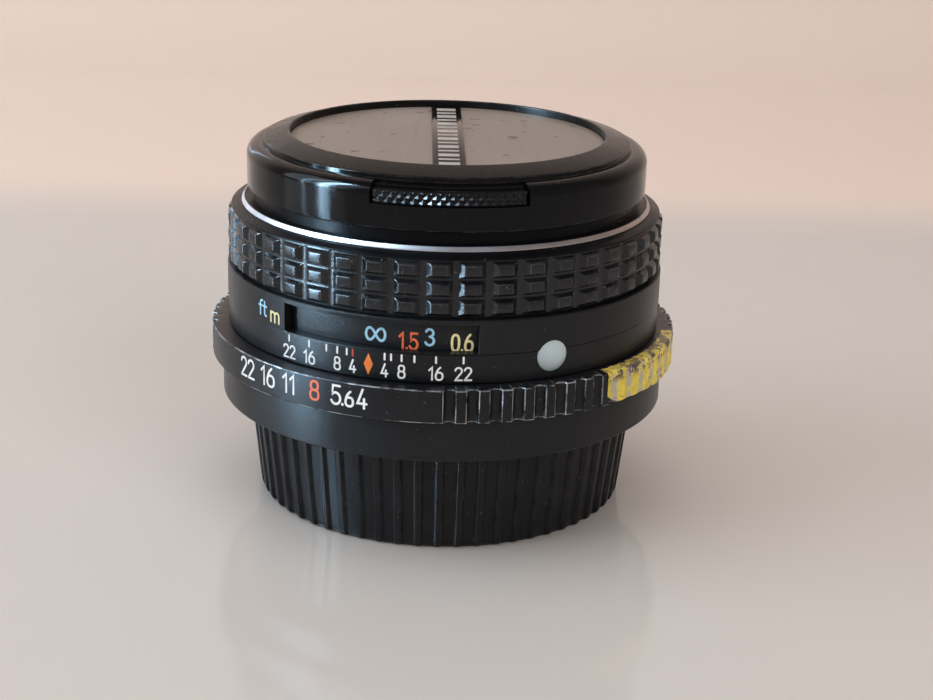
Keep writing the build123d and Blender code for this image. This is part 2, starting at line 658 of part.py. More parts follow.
ROW_PITCH = (GRIP_HIGH - GRIP_LOW) / GRIP_ROWS
with BuildPart() as rubber_grip:
    add(ring(27.93, GRIP_TOP_R, GRIP_LOW, GRIP_HIGH))
    for row in range(GRIP_ROWS + 1):
        middle = GRIP_LOW + row * ROW_PITCH
        add(
            turned([(GRIP_BASE_R, middle - ROW_FLOOR), (GRIP_TOP_R + 0.1, middle - ROW_MOUTH),
                    (GRIP_TOP_R + 0.1, middle + ROW_MOUTH), (GRIP_BASE_R, middle + ROW_FLOOR)]),
            mode=Mode.SUBTRACT,
        )
    channel = grip_channel()
    for angle in around(GRIP_COLUMNS, from_bearing(GRIP_FIRST)):
        add(channel.rotate(Axis.Z, angle), mode=Mode.SUBTRACT)
finish(rubber_grip, "rubber_grip")

with BuildPart() as nose_ring:
    add(turned([(27.0, 39.65), (28.75, 39.65), (28.75, 39.8), (27.45, 40.25), (27.0, 40.25)]))
finish(nose_ring, "nose_ring")

# ---------------------------------------------------------------- front cap
CAP_FLOOR = FILTER_HIGH + 0.05
CAVITY_LOW = 44.9
CAVITY_HIGH = 47.9
CLIP_BEARINGS = (0.0, 180.0)
with BuildPart() as cap_body:
    with BuildSketch(Plane.XZ):
        with BuildLine():
            Polyline(
                (0, CAVITY_LOW), (0, CAP_FLOOR), (25.9, CAP_FLOOR), (25.9, CAP_LOW), (26.45, CAP_LOW),
                (CAP_R - 0.05, CAP_LOW + 0.2), (CAP_R, 46.9),
            )
            ThreePointArc((CAP_R, 46.9), (26.1, 48.1), (24.9, 48.55))
            Polyline(
                (24.9, 48.55), (24.1, 48.62), (24.0, 48.5), (23.85, 48.75), (21.5, 49.62),
                (21.2, CAP_TOP), (20.95, 49.6), (20.95, CAVITY_HIGH), (25.5, CAVITY_HIGH),
                (25.5, CAVITY_LOW), (0, CAVITY_LOW),
            )
        make_face()
    revolve(axis=Axis.Z)
    for bearing in CLIP_BEARINGS:
        angle = from_bearing(bearing)
        add(sector(24.4, 27.5, 45.7, 49.0, angle, CLIP_SPAN + CLIP_PLAY), mode=Mode.SUBTRACT)
        add(sector(21.1, 24.15, 43.0, 45.5, angle, 19.0), mode=Mode.SUBTRACT)
    with BuildSketch(Plane.XY.offset(CAVITY_LOW - 0.1)):
        Rectangle(8.0, 17.0)
    extrude(amount=2.6)
finish(cap_body, "cap_body")

with BuildPart() as cap_disc:
    add(ring(0, 20.9, CAVITY_HIGH + 0.1, 48.7))
finish(cap_disc, "cap_disc")

with BuildPart() as cap_strip:
    with BuildSketch(Plane.XY.offset(48.71)):
        Rectangle(3.3, 41.0)
    extrude(amount=0.3)
finish(cap_strip, "cap_strip")


KNURL_ROWS = 3
KNURL_COLUMNS = 25
KNURL_LOW = 46.15
KNURL_ROW_PITCH = 0.68
KNURL_PIT_R = 0.16


def cap_clip(bearing):
    """A squeeze clip: knurled finger wall, sliding plate and hook, at one side of the cap."""
    angle = from_bearing(bearing)
    with BuildPart(mode=Mode.PRIVATE) as clip:
        add(sector(25.3, 26.6, 45.78, 47.85, angle, CLIP_SPAN))
        add(sector(24.3, 25.4, 45.78, 46.9, angle, CLIP_SPAN))
        add(sector(18.0, 24.4, 45.0, 46.9, angle, 36.0))
        add(sector(22.75, 23.85, 42.4, 45.1, angle, 15.0))
        for row in range(KNURL_ROWS):
            level = KNURL_LOW + KNURL_ROW_PITCH * row
            for column in range(KNURL_COLUMNS):
                turn = (column - (KNURL_COLUMNS - 1) / 2 + 0.25 * (row % 2)) * CLIP_SPAN / KNURL_COLUMNS
                pit = radial_rod(KNURL_PIT_R, 26.42, 26.8, angle + turn, level)
                add(pit, mode=Mode.SUBTRACT)
    return clip.part


for side, bearing in zip(("front", "rear"), CLIP_BEARINGS):
    with BuildPart() as clip_piece:
        add(cap_clip(bearing))
    finish(clip_piece, "cap_clip_" + side)
    with BuildPart() as clip_spring:
        add(coil(1.0, 0.22, 1.0, 8.6))
    clip_spring.part = (
        clip_spring.part.rotate(Axis.Y, 90).translate((8.9, 0, 46.1)).rotate(Axis.Z, from_bearing(bearing))
    )
    finish(clip_spring, "cap_spring_" + side)

# ---------------------------------------------------------------- rear cap
CAP_FOOT_R = 25.1
CAP_RIM_R = 26.5
CAP_RIM_Z = FLANGE_Z - 0.05
CAP_WALL_R = 24.5          # inside of the wall
CAP_BASE = 1.8             # thickness of the end wall
RIB_GROOVE_R = 0.82
RIB_GROOVE_OUT = 1.32      # middle of a groove beyond the foot
RIB_LEAN = 5.9             # degrees that the wall leans outwards
with BuildPart() as rear_cap:
    with BuildSketch(Plane.XZ):
        with BuildLine():
            Line((0, 0), (CAP_FOOT_R - 1.0, 0))
            ThreePointArc((CAP_FOOT_R - 1.0, 0), (CAP_FOOT_R - 0.27, 0.3), (CAP_FOOT_R, 1.0))
            Polyline(
                (CAP_FOOT_R, 1.0), (CAP_RIM_R, CAP_RIM_Z), (CAP_WALL_R, CAP_RIM_Z), (CAP_WALL_R, 8.0),
                (23.6, CAP_BASE), (0, CAP_BASE), (0, 0),
            )
        make_face()
    revolve(axis=Axis.Z)
    for angle in CAP_LUG_ANGLES:
        add(sector(23.25, 24.6, 11.4, 12.9, angle, 40))
    groove_line = Pos(CAP_FOOT_R + RIB_GROOVE_OUT, 0, 8.0) * Rot(0, RIB_LEAN, 0)
    rib_groove = groove_line * Cylinder(RIB_GROOVE_R, 15.5, mode=Mode.PRIVATE)
    for angle in around(REAR_CAP_RIBS):
        add(rib_groove.rotate(Axis.Z, angle), mode=Mode.SUBTRACT)
finish(rear_cap, "rear_cap")
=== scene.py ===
import json
import math

import bmesh
import bpy
import numpy as np
from mathutils import Matrix, Vector


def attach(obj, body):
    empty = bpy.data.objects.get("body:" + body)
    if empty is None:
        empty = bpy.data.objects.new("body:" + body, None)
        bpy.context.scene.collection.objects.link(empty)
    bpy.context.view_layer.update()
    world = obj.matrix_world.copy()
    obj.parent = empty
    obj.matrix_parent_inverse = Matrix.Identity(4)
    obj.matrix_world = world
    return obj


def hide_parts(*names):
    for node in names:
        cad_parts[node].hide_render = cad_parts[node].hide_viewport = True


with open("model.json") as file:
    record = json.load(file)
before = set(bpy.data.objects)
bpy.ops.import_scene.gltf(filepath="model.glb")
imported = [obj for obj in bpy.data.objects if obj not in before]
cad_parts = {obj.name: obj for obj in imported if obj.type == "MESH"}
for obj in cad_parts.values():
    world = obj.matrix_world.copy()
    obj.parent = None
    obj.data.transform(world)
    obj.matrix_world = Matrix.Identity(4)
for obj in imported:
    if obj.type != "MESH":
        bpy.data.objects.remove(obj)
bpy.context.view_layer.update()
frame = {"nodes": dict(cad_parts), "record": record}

# Lengths are millimetres until a mesh is made. A bearing is an angle about Z from -Y towards +X, in degrees.
MM = 0.001
AROUND = 360

SKIRT_R = 30.1
BAND_R = 31.5
BAND_LOW = 19.7
BAND_HIGH = 24.0
FLUTE_PITCH = 5.25
FLUTE_COUNT = 54
FIRST_FLUTE = 1.85
FLUTE_R = 0.75
DEPTH_R = 29.2
SEAM_Z = 27.86
SLEEVE_R = 29.32
SLEEVE_HIGH = 32.2
WINDOW = (-42.7, 8.8)
WINDOW_Z = (27.98, 31.6)
DRUM_R = 27.9
GRIP_LOW = 32.5
GRIP_HIGH = 39.55
GRIP_INNER_R = 27.93
GRIP_BASE_R = 28.5
GRIP_TOP_R = 29.2
GRIP_COLUMNS = 45
GRIP_ROWS = 3
GRIP_FIRST = -13.1
CAP_R = 26.65
CAP_TURN = 1.0
CLIP_HALF = 20.9
NOTCH_HALF = 21.45
LABEL_SPAN = (41.5, 80.0)
LABEL_R = 31.62
LABEL_SINK = 0.11
LABEL_THICK = 0.07
BEAD_BEARING = 27.7
BEAD_Z = 27.06
BEAD_ROOT_R = 28.3
PAINT = 0.02
PAINT_ROOT = -0.04
NEARLY_STRAIGHT = -0.97


# ---------------------------------------------------------------- shapes
def smooth_step(value):
    t = np.clip(value, 0.0, 1.0)
    return t * t * (3 - 2 * t)


def eased(corners, cut=0.1, closed=True):
    """A profile's corners rounded by cut, as (radius, height, wear) rows. Wear is 1 on a rounded corner."""
    points = [np.array(c, float) for c in corners]
    rows = []
    count = len(points)
    for i, here in enumerate(points):
        if not closed and i in (0, count - 1):
            rows.append((*here, 0.0))
            continue
        back, on = points[i - 1] - here, points[(i + 1) % count] - here
        back_length, on_length = np.linalg.norm(back), np.linalg.norm(on)
        back, on = back / back_length, on / on_length
        if back @ on < NEARLY_STRAIGHT:
            rows.append((*here, 0.0))
            continue
        start = here + back * min(cut, 0.4 * back_length)
        end = here + on * min(cut, 0.4 * on_length)
        for t in (0.0, 0.33, 0.67, 1.0):
            p = start * (1 - t) ** 2 + 2 * here * t * (1 - t) + end * t ** 2
            rows.append((*p, 0.0 if t in (0.0, 1.0) else 1.0))
    return np.array(rows)


def joined(corners, cut):
    """Rows of an open rounded profile that carries on from rows already there."""
    return [tuple(row) for row in eased(corners, cut, closed=False)[1:]]


def skin(rings, wear, loop_up, loop_round):
    """Vertices and quads of a grid of rings: rings[i][j] is point j of the section at turn i."""
    turns, size = rings.shape[:2]
    faces = []
    for i in range(turns if loop_round else turns - 1):
        k = (i + 1) % turns
        for j in range(size if loop_up else size - 1):
            n = (j + 1) % size
            faces.append((i * size + j, k * size + j, k * size + n, i * size + n))
    return rings.reshape(-1, 3), faces, wear.reshape(-1)


def placed(name, data):
    """A new object in the scene."""
    made = bpy.data.objects.new(name, data)
    bpy.context.scene.collection.objects.link(made)
    return made


def solid(name, points, faces, finish, body, stands_for=(), attributes=None, crease=32.0,
          weld=0.0004):
    """Makes a mesh piece from points in millimetres, and ties it to the frame."""
    mesh = bpy.data.meshes.new(name)
    mesh.from_pydata(np.asarray(points, float).tolist(), [], faces)
    for key, values in (attributes or {}).items():
        layer = mesh.attributes.new(key, "FLOAT", "POINT")
        layer.data.foreach_set("value", np.asarray(values, np.float32))
    work = bmesh.new()
    work.from_mesh(mesh)
    if weld:
        bmesh.ops.remove_doubles(work, verts=work.verts, dist=weld)
    bmesh.ops.recalc_face_normals(work, faces=work.faces)
    work.to_mesh(mesh)
    work.free()
    mesh.transform(Matrix.Scale(MM, 4))
    mesh.shade_smooth()
    mesh.set_sharp_from_angle(angle=math.radians(crease))
    piece = placed(name, mesh)
    mesh.materials.append(finish)
    if body is not None:
        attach(piece, body)
        if stands_for:
            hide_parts(*stands_for)
    return piece


def turned(name, profile, finish, body, stands_for=(), relief=None, bearings=None,
           closed=True, arc=False, extra_wear=None, crease=32.0):
    """A solid turned about Z. relief(bearing, radius, height) is added to the radius. End faces close an arc."""
    if bearings is None:
        bearings = np.arange(AROUND) * (360.0 / AROUND)
    bearings = np.asarray(bearings, float)
    b = np.repeat(bearings[:, None], len(profile), 1)
    r, z, w = (np.repeat(column[None], len(bearings), 0) for column in profile.T)
    if relief is not None:
        r = r + relief(b, r, z)
    if extra_wear is not None:
        w = np.maximum(w, extra_wear(b, r, z))
    a = np.radians(b)
    rings = np.stack([r * np.sin(a), -r * np.cos(a), z], -1)
    points, faces, wear = skin(rings, w, closed, not arc)
    if arc:
        size = len(profile)
        faces.append(tuple(range(size)))
        faces.append(tuple(range((len(bearings) - 1) * size, len(bearings) * size)))
    return solid(name, points, faces, finish, body, stands_for, {"wear": wear}, crease)


# ---------------------------------------------------------------- materials
def node(tree, kind, **values):
    made = tree.nodes.new(kind)
    for key, value in values.items():
        if key in made.inputs:
            made.inputs[key].default_value = value
        else:
            setattr(made, key, value)
    return made


def noise(tree, vector, scale, detail=3.0, rough=0.55):
    made = node(tree, "ShaderNodeTexNoise", Scale=scale, Detail=detail, Roughness=rough)
    tree.links.new(vector, made.inputs["Vector"])
    return made.outputs["Fac"]


def spread(tree, value, low, high, to_low=0.0, to_high=1.0):
    made = node(tree, "ShaderNodeMapRange")
    tree.links.new(value, made.inputs["Value"])
    for key, number in (("From Min", low), ("From Max", high), ("To Min", to_low), ("To Max", to_high)):
        made.inputs[key].default_value = number
    return made.outputs["Result"]


def maths(tree, operation, first, second):
    made = node(tree, "ShaderNodeMath", operation=operation)
    for place, value in enumerate((first, second)):
        if isinstance(value, (int, float)):
            made.inputs[place].default_value = value
        else:
            tree.links.new(value, made.inputs[place])
    return made.outputs[0]


def blend(tree, share, first, second):
    made = node(tree, "ShaderNodeMix", data_type="RGBA")
    for key, value in ((0, share), (6, first), (7, second)):
        if isinstance(value, tuple):
            made.inputs[key].default_value = (*value, 1.0)
        elif isinstance(value, float):
            made.inputs[key].default_value = value
        else:
            tree.links.new(value, made.inputs[key])
    return made.outputs[2]


def surface(name, colour, rough, metal=0.0, patch=70.0, patch_tint=0.25, rough_spread=0.06, grain=2600.0,
            grain_rise=0.012, wear=None, wear_metal=0.0, wear_reach=(0.42, 0.62), specks=None,
            speck_scale=1500.0, speck_from=0.745, specular=0.5, scratch=0.0):
    """A procedural finish: tinted patches, uneven roughness, fine grain, worn edges and specks of dust."""
    made = bpy.data.materials.new(name)
    made.use_nodes = True
    tree = made.node_tree
    shader = tree.nodes["Principled BSDF"]
    place = tree.nodes.new("ShaderNodeTexCoord").outputs["Object"]
    cloudy = noise(tree, place, patch, 4.0, 0.6)
    fine = noise(tree, place, grain, 2.0, 0.6)
    dark = tuple(c * (1 - patch_tint) for c in colour)
    light = tuple(min(1.0, c * (1 + patch_tint)) for c in colour)
    tone = blend(tree, spread(tree, cloudy, 0.35, 0.65), dark, light)
    roughness = spread(tree, cloudy, 0.3, 0.7, rough - rough_spread, rough + rough_spread)
    if scratch:
        stretch = node(tree, "ShaderNodeMapping")
        stretch.inputs["Scale"].default_value = (900.0, 60.0, 900.0)
        stretch.inputs["Rotation"].default_value = (0.3, 0.1, 0.7)
        tree.links.new(place, stretch.inputs["Vector"])
        lines = noise(tree, stretch.outputs[0], 1.0, 2.0, 0.5)
        roughness = maths(tree, "ADD", roughness, spread(tree, lines, 0.6, 0.75, 0.0, scratch))
    if specks is not None:
        dust = spread(tree, noise(tree, place, speck_scale, 1.0, 0.4), speck_from, speck_from + 0.03)
        tone = blend(tree, dust, tone, specks)
    if wear is not None:
        edge = node(tree, "ShaderNodeAttribute", attribute_name="wear").outputs["Fac"]
        rub = noise(tree, place, 420.0, 3.0, 0.65)
        bare = maths(tree, "MULTIPLY", edge, spread(tree, rub, *wear_reach))
        tone = blend(tree, bare, tone, wear)
        tree.links.new(maths(tree, "ADD", maths(tree, "MULTIPLY", bare, wear_metal), metal),
                       shader.inputs["Metallic"])
    else:
        shader.inputs["Metallic"].default_value = metal
    bump = node(tree, "ShaderNodeBump", Strength=0.9)
    bump.inputs["Distance"].default_value = grain_rise * MM
    tree.links.new(fine, bump.inputs["Height"])
    tree.links.new(bump.outputs["Normal"], shader.inputs["Normal"])
    tree.links.new(tone, shader.inputs["Base Color"])
    tree.links.new(roughness, shader.inputs["Roughness"])
    shader.inputs["Specular IOR Level"].default_value = specular
    return made


BLACK = surface("black_anodised_look", (0.0085, 0.0088, 0.0105), 0.36, patch=90, wear=(0.62, 0.62, 0.64),
                wear_metal=0.6, specks=(0.05, 0.05, 0.055), speck_scale=2200, specular=0.30, grain_rise=0.02)
INNER_BLACK = surface("inner_black_look", (0.012, 0.012, 0.013), 0.55, specular=0.4)
DRUM = surface("drum_look", (0.010, 0.0105, 0.012), 0.42, grain=3000, grain_rise=0.03,
               specks=(0.06, 0.06, 0.065), speck_scale=2600, speck_from=0.72, specular=0.32)
RUBBER = surface("grip_rubber_look", (0.009, 0.0095, 0.0115), 0.27, patch=240, patch_tint=0.35, rough_spread=0.09,
                 wear=(0.06, 0.062, 0.07), wear_reach=(0.4, 0.7), specks=(0.07, 0.07, 0.075),
                 speck_scale=1900, specular=0.46, grain_rise=0.02)
BRIGHT = surface("bright_aluminium_look", (0.62, 0.585, 0.585), 0.40, metal=1.0, patch=160, patch_tint=0.07,
                 rough_spread=0.05, specks=(0.30, 0.26, 0.24), speck_scale=1100, speck_from=0.75, grain_rise=0.006)
CHROME = surface("mount_steel_look", (0.62, 0.61, 0.60), 0.27, metal=1.0, patch_tint=0.08, scratch=0.15,
                 grain_rise=0.006)
STEEL = surface("bare_steel_look", (0.52, 0.52, 0.53), 0.30, metal=1.0, patch_tint=0.1, grain_rise=0.008)
BLADE = surface("blackened_steel_look", (0.035, 0.035, 0.038), 0.42, metal=0.6, patch_tint=0.2, scratch=0.12)
BRASS = surface("cam_brass_look", (0.62, 0.43, 0.17), 0.28, metal=1.0, patch_tint=0.12, grain_rise=0.006)
GLOSS = surface("cap_plastic_look", (0.004, 0.004, 0.0048), 0.11, patch=120, patch_tint=0.2, rough_spread=0.04,
                grain=1600, grain_rise=0.004, wear=(0.05, 0.052, 0.056), specks=(0.07, 0.07, 0.075),
                speck_scale=1300, speck_from=0.765, specular=0.17, scratch=0.10)
CAP_SATIN = surface("cap_rim_look", (0.0055, 0.0053, 0.0053), 0.27, patch=150, rough_spread=0.06,
                    wear=(0.04, 0.04, 0.043), specks=(0.07, 0.07, 0.07), speck_from=0.755, specular=0.22,
                    grain_rise=0.008)
# Darker colour and weaker specular than BLACK: painted shade for the filter ring's wall, which sits recessed under
# the cap. The nose ring shares this darker black.
DARK_SHADED_BLACK = surface("dark_shaded_black_look", (0.0040, 0.0040, 0.0052), 0.30, patch=120, patch_tint=0.2,
               specks=(0.06, 0.06, 0.065), speck_from=0.755, specular=0.10, grain_rise=0.008)
DISC = surface("cap_disc_look", (0.205, 0.170, 0.142), 0.42, patch=85, patch_tint=0.12, rough_spread=0.07,
               grain=3300, grain_rise=0.02, specks=(0.07, 0.055, 0.05), speck_scale=520, speck_from=0.715,
               specular=0.6, scratch=0.08)
REAR = surface("rear_cap_look", (0.0095, 0.0095, 0.0105), 0.34, patch=200, patch_tint=0.3, rough_spread=0.07,
               wear=(0.04, 0.04, 0.043), wear_reach=(0.35, 0.6), specks=(0.07, 0.07, 0.073),
               speck_scale=1700, specular=0.22, grain_rise=0.014)
KNURL_PLASTIC = surface("knurl_look", (0.008, 0.008, 0.009), 0.24, patch=300, rough_spread=0.05, grain_rise=0.005,
                        specks=(0.06, 0.06, 0.06), speck_scale=1600, speck_from=0.76, specular=0.45)


def paint(name, colour, tint):
    return surface(name, colour, 0.5, patch=700, patch_tint=tint, grain_rise=0.006)


WHITE_PAINT = paint("white_fill_look", (0.92, 0.93, 0.93), 0.06)
ORANGE_PAINT = paint("orange_fill_look", (1.0, 0.17, 0.05), 0.08)
INDEX_PAINT = paint("index_fill_look", (1.0, 0.23, 0.008), 0.08)
RED_PAINT = paint("red_fill_look", (0.66, 0.035, 0.015), 0.08)
BLUE_PAINT = paint("blue_fill_look", (0.42, 0.74, 1.0), 0.06)
YELLOW_PAINT = paint("yellow_fill_look", (1.0, 0.88, 0.44), 0.06)
SILVER_PRINT = surface("silver_print_look", (0.46, 0.46, 0.46), 0.33, metal=0.5, patch=900, patch_tint=0.15)


def bead_look():
    made = surface("bead_look", (0.50, 0.59, 0.61), 0.14, patch=260, patch_tint=0.05, grain=900, grain_rise=0.003,
                   rough_spread=0.03, specular=0.5)
    shader = made.node_tree.nodes["Principled BSDF"]
    shader.inputs["Subsurface Weight"].default_value = 0.5
    shader.inputs["Subsurface Scale"].default_value = 0.6 * MM
    shader.inputs["Subsurface Radius"].default_value = (1.0, 0.95, 0.85)
    return made


def glass_look():
    made = surface("coated_glass_look", (0.05, 0.065, 0.10), 0.03, patch=40, patch_tint=0.3, rough_spread=0.01,
                   grain=500, grain_rise=0.0, specular=0.8)
    shader = made.node_tree.nodes["Principled BSDF"]
    shader.inputs["Transmission Weight"].default_value = 0.85
    shader.inputs["IOR"].default_value = 1.6
    shader.inputs["Coat Weight"].default_value = 0.6
    shader.inputs["Coat Roughness"].default_value = 0.05
    shader.inputs["Coat Tint"].default_value = (0.55, 0.6, 1.0, 1.0)
    return made


def label_look():
    """Yellow film, greyed where the flutes press it, with dark worn patches along its top."""
    made = surface("label_film_look", (0.80, 0.62, 0.075), 0.42, patch=500, patch_tint=0.2, rough_spread=0.08,
                   grain=1500, grain_rise=0.02)
    tree = made.node_tree
    shader = tree.nodes["Principled BSDF"]
    yellow = shader.inputs["Base Color"].links[0].from_socket
    place = tree.nodes.new("ShaderNodeTexCoord").outputs["Object"]
    creased = node(tree, "ShaderNodeAttribute", attribute_name="crease").outputs["Fac"]
    high = node(tree, "ShaderNodeAttribute", attribute_name="high").outputs["Fac"]
    ragged = noise(tree, place, 900.0, 4.0, 0.6)
    pale = maths(tree, "MULTIPLY", creased, spread(tree, ragged, 0.38, 0.52))
    tone = blend(tree, pale, yellow, (0.50, 0.45, 0.37))
    blot = noise(tree, place, 640.0, 3.0, 0.7)
    dark = maths(tree, "MULTIPLY", high, spread(tree, blot, 0.47, 0.53))
    tone = blend(tree, dark, tone, (0.085, 0.06, 0.075))
    dots = spread(tree, noise(tree, place, 1300.0, 2.0, 0.5), 0.66, 0.69)
    tone = blend(tree, dots, tone, (0.12, 0.085, 0.05))
    tree.links.new(tone, shader.inputs["Base Color"])
    return made


BEAD = bead_look()
GLASS = glass_look()
LABEL = label_look()

# ---------------------------------------------------------------- rear cap
RIB_PITCH = 6.0
RIB_RISE = 0.47
RIB_R = 25.6
RIB_CREST_HALF = 0.36
RIB_SLOPE = 0.26
RIB_OFFSETS = (-0.66, -0.52, -0.44, -0.30, 0.0, 0.30, 0.44, 0.52, 0.66, 1.0, 1.38, 1.8)
rib_turns = []
for rib in range(int(360 / RIB_PITCH)):
    rib_turns += [rib * RIB_PITCH + math.degrees(offset / RIB_R) for offset in RIB_OFFSETS]


def rib_distance(bearing):
    """Distance along the rim from the nearest rib's middle, in mm."""
    across = (bearing + RIB_PITCH / 2) % RIB_PITCH - RIB_PITCH / 2
    return np.abs(np.radians(across)) * RIB_R


def rib_relief(bearing, radius, height):
    """0 on a rib's crest, RIB_RISE deep in the valley, fading out at both ends of the ribs."""
    outer = (radius > 24.7) & (height < 13.98)
    reach = smooth_step(height / 0.4) * (1 - smooth_step((height - 13.5) / 0.3))
    crest = 1 - smooth_step((rib_distance(bearing) - RIB_CREST_HALF) / RIB_SLOPE)
    return -RIB_RISE * (1 - crest) * reach * outer


def rib_wear(bearing, radius, height):
    near = np.abs(rib_distance(bearing) - 0.44) < 0.1
    return np.where(near & (height > 1.0) & (height < 13.4), 0.55, 0.0)


rear_profile = eased([(0, 0), (24.1, 0), (24.83, 0.3), (25.1, 1.0)], 0.06, closed=False).tolist()
for height in (1.2, 1.6, 4.0, 8.0, 11.5, 13.2, 13.5, 13.58, 13.66, 13.74, 13.8):
    rear_profile.append((25.1 + 1.4 * (height - 1.0) / 13.05, height, 0.0))
rear_profile += eased([(26.48, 13.85), (26.5, 14.05), (24.5, 14.05), (24.5, 8.0), (23.6, 1.8), (0, 1.8)], 0.08,
                      closed=False).tolist()
turned("rear_cap_shell", np.array(rear_profile), REAR, "rear_cap", ["rear_cap"],
       relief=rib_relief, bearings=rib_turns, closed=False, extra_wear=rib_wear)


LUG_HALF = 20.0
lug_profile = eased([(23.3, 11.4), (24.6, 11.4), (24.6, 12.9), (23.3, 12.9)], 0.15)
for number, bearing in enumerate((180.0, -60.0, 60.0)):
    turned("rear_cap_lug_" + str(number + 1), lug_profile, REAR, "rear_cap",
           bearings=np.linspace(bearing - LUG_HALF, bearing + LUG_HALF, 41), arc=True)

# ---------------------------------------------------------------- aperture ring
FLUTE_EDGE = 0.84
FLUTE_STEPS = (0.22, 0.45, 0.62, 0.71, 0.76, 0.81, 0.88)
FLUTE_BEARINGS = [FIRST_FLUTE + FLUTE_PITCH * place for place in range(FLUTE_COUNT)]
flute_turns = []
for bearing in FLUTE_BEARINGS:
    for offset in [-step for step in reversed(FLUTE_STEPS)] + [0.0] + list(FLUTE_STEPS):
        flute_turns.append(bearing + math.degrees(offset / BAND_R))
panel_from = FLUTE_BEARINGS[-1] - 360 + 2.0
flute_turns += list(np.arange(panel_from, 0.2, 0.6))
flute_turns = sorted(turn % 360 for turn in flute_turns)


def flute_offset(bearing):
    """Distance along the rim from the nearest flute's middle, in mm."""
    along = (bearing - FIRST_FLUTE + FLUTE_PITCH / 2) % 360
    place = np.floor(along / FLUTE_PITCH)
    across = along - place * FLUTE_PITCH - FLUTE_PITCH / 2
    return np.where(place < FLUTE_COUNT, np.radians(np.abs(across)) * BAND_R, 9.0)


def flute_depth(bearing):
    u = flute_offset(bearing)
    round_part = np.sqrt(np.clip(FLUTE_R ** 2 - u ** 2, 0.0, None)) - 0.05
    edge_part = 0.16 * np.clip((FLUTE_EDGE - u) / 0.12, 0.0, 1.0) ** 2
    return np.where(u < 0.72, round_part, edge_part)


BAND_WEAR_FROM = 31.2


def band_relief(bearing, radius, height):
    return np.where(radius > 30.6, -flute_depth(bearing), 0.0)


def band_wear(bearing, radius, height):
    edge = np.abs(flute_offset(bearing) - 0.79) < 0.06
    on_band = (radius > BAND_WEAR_FROM) & (height > BAND_LOW)
    return np.where(edge & on_band, 0.9, 0.0)


ring_profile = eased([
    (28.06, 15.62), (29.2, 15.62), (29.2, 14.12), (29.9, 14.12), (SKIRT_R, 14.32), (SKIRT_R, 19.55),
    (SKIRT_R - 0.12, BAND_LOW), (31.38, BAND_LOW), (BAND_R, BAND_LOW + 0.12), (BAND_R, BAND_HIGH - 0.09),
    (31.42, BAND_HIGH), (29.4, BAND_HIGH), (28.06, BAND_HIGH),
], 0.06)
ring_profile[:, 2] *= ring_profile[:, 0] > BAND_WEAR_FROM
turned("aperture_ring_body", ring_profile, BLACK, "aperture", ["aperture_ring"],
       relief=band_relief, bearings=flute_turns, extra_wear=band_wear)

# ---------------------------------------------------------------- barrel rings
depth_profile = eased([
    (27.6, 24.12), (DEPTH_R - 0.1, 24.1), (DEPTH_R, 24.2), (DEPTH_R, SEAM_Z - 0.1), (DEPTH_R - 0.08, SEAM_Z - 0.02),
    (28.2, SEAM_Z - 0.02), (28.2, 25.9), (27.6, 25.9),
], 0.05)
depth_profile[:, 2] = 0.0
turned("depth_scale_body", depth_profile, BLACK, "barrel", ["depth_scale_ring"])


def window_sleeve():
    """A thin tube with the distance window cut through it."""
    left, right = WINDOW
    low, high = WINDOW_Z
    steps = [*np.arange(right, 360 + left, 1.0), *np.arange(left, right, 1.0)]
    turns = sorted(set(round(t % 360, 4) for t in steps))
    outer = [(27.65, 25.95), (28.15, 25.95), (28.15, SEAM_Z), (SLEEVE_R - 0.06, SEAM_Z), (SLEEVE_R, SEAM_Z + 0.06),
             (SLEEVE_R, low), (SLEEVE_R, high), (SLEEVE_R, SLEEVE_HIGH - 0.14), (SLEEVE_R - 0.14, SLEEVE_HIGH),
             (28.15, SLEEVE_HIGH), (28.15, high), (28.15, low + 0.001), (27.65, low + 0.001)]
    low_out, high_out, high_in, low_in = 5, 6, 10, 11
    size = len(outer)
    points = [(r * math.sin(a), -r * math.cos(a), z) for a in map(math.radians, turns) for r, z in outer]
    faces = []
    count = len(turns)
    inside = [(left % 360) - 1e-3 <= t or t < right - 1e-3 for t in turns]
    for i in range(count):
        k = (i + 1) % count
        here, there = i * size, k * size
        for j in range(size):
            n = (j + 1) % size
            if not (inside[i] and j in (low_out, high_in)):
                faces.append((here + j, there + j, there + n, here + n))
        if inside[i]:
            faces.append((here + low_out, there + low_out, there + low_in, here + low_in))
            faces.append((here + high_out, there + high_out, there + high_in, here + high_in))
            for end, window_goes_on in ((here, inside[i - 1]), (there, inside[k])):
                if not window_goes_on:
                    faces.append((end + low_out, end + high_out, end + high_in, end + low_in))
    return solid("window_sleeve_body", points, faces, BLACK, "barrel", ["window_sleeve"],
                 {"wear": np.zeros(len(points))})


sleeve = window_sleeve()
round_edge = sleeve.modifiers.new("edges", "BEVEL")
round_edge.width = 0.07 * MM
round_edge.segments = 2
round_edge.limit_method = "ANGLE"
round_edge.angle_limit = math.radians(60)

turned("distance_drum_body", eased([(27.1, 28.0), (DRUM_R, 28.0), (DRUM_R, 32.08), (27.1, 32.08)], 0.05), DRUM,
       "focus", ["distance_drum"])


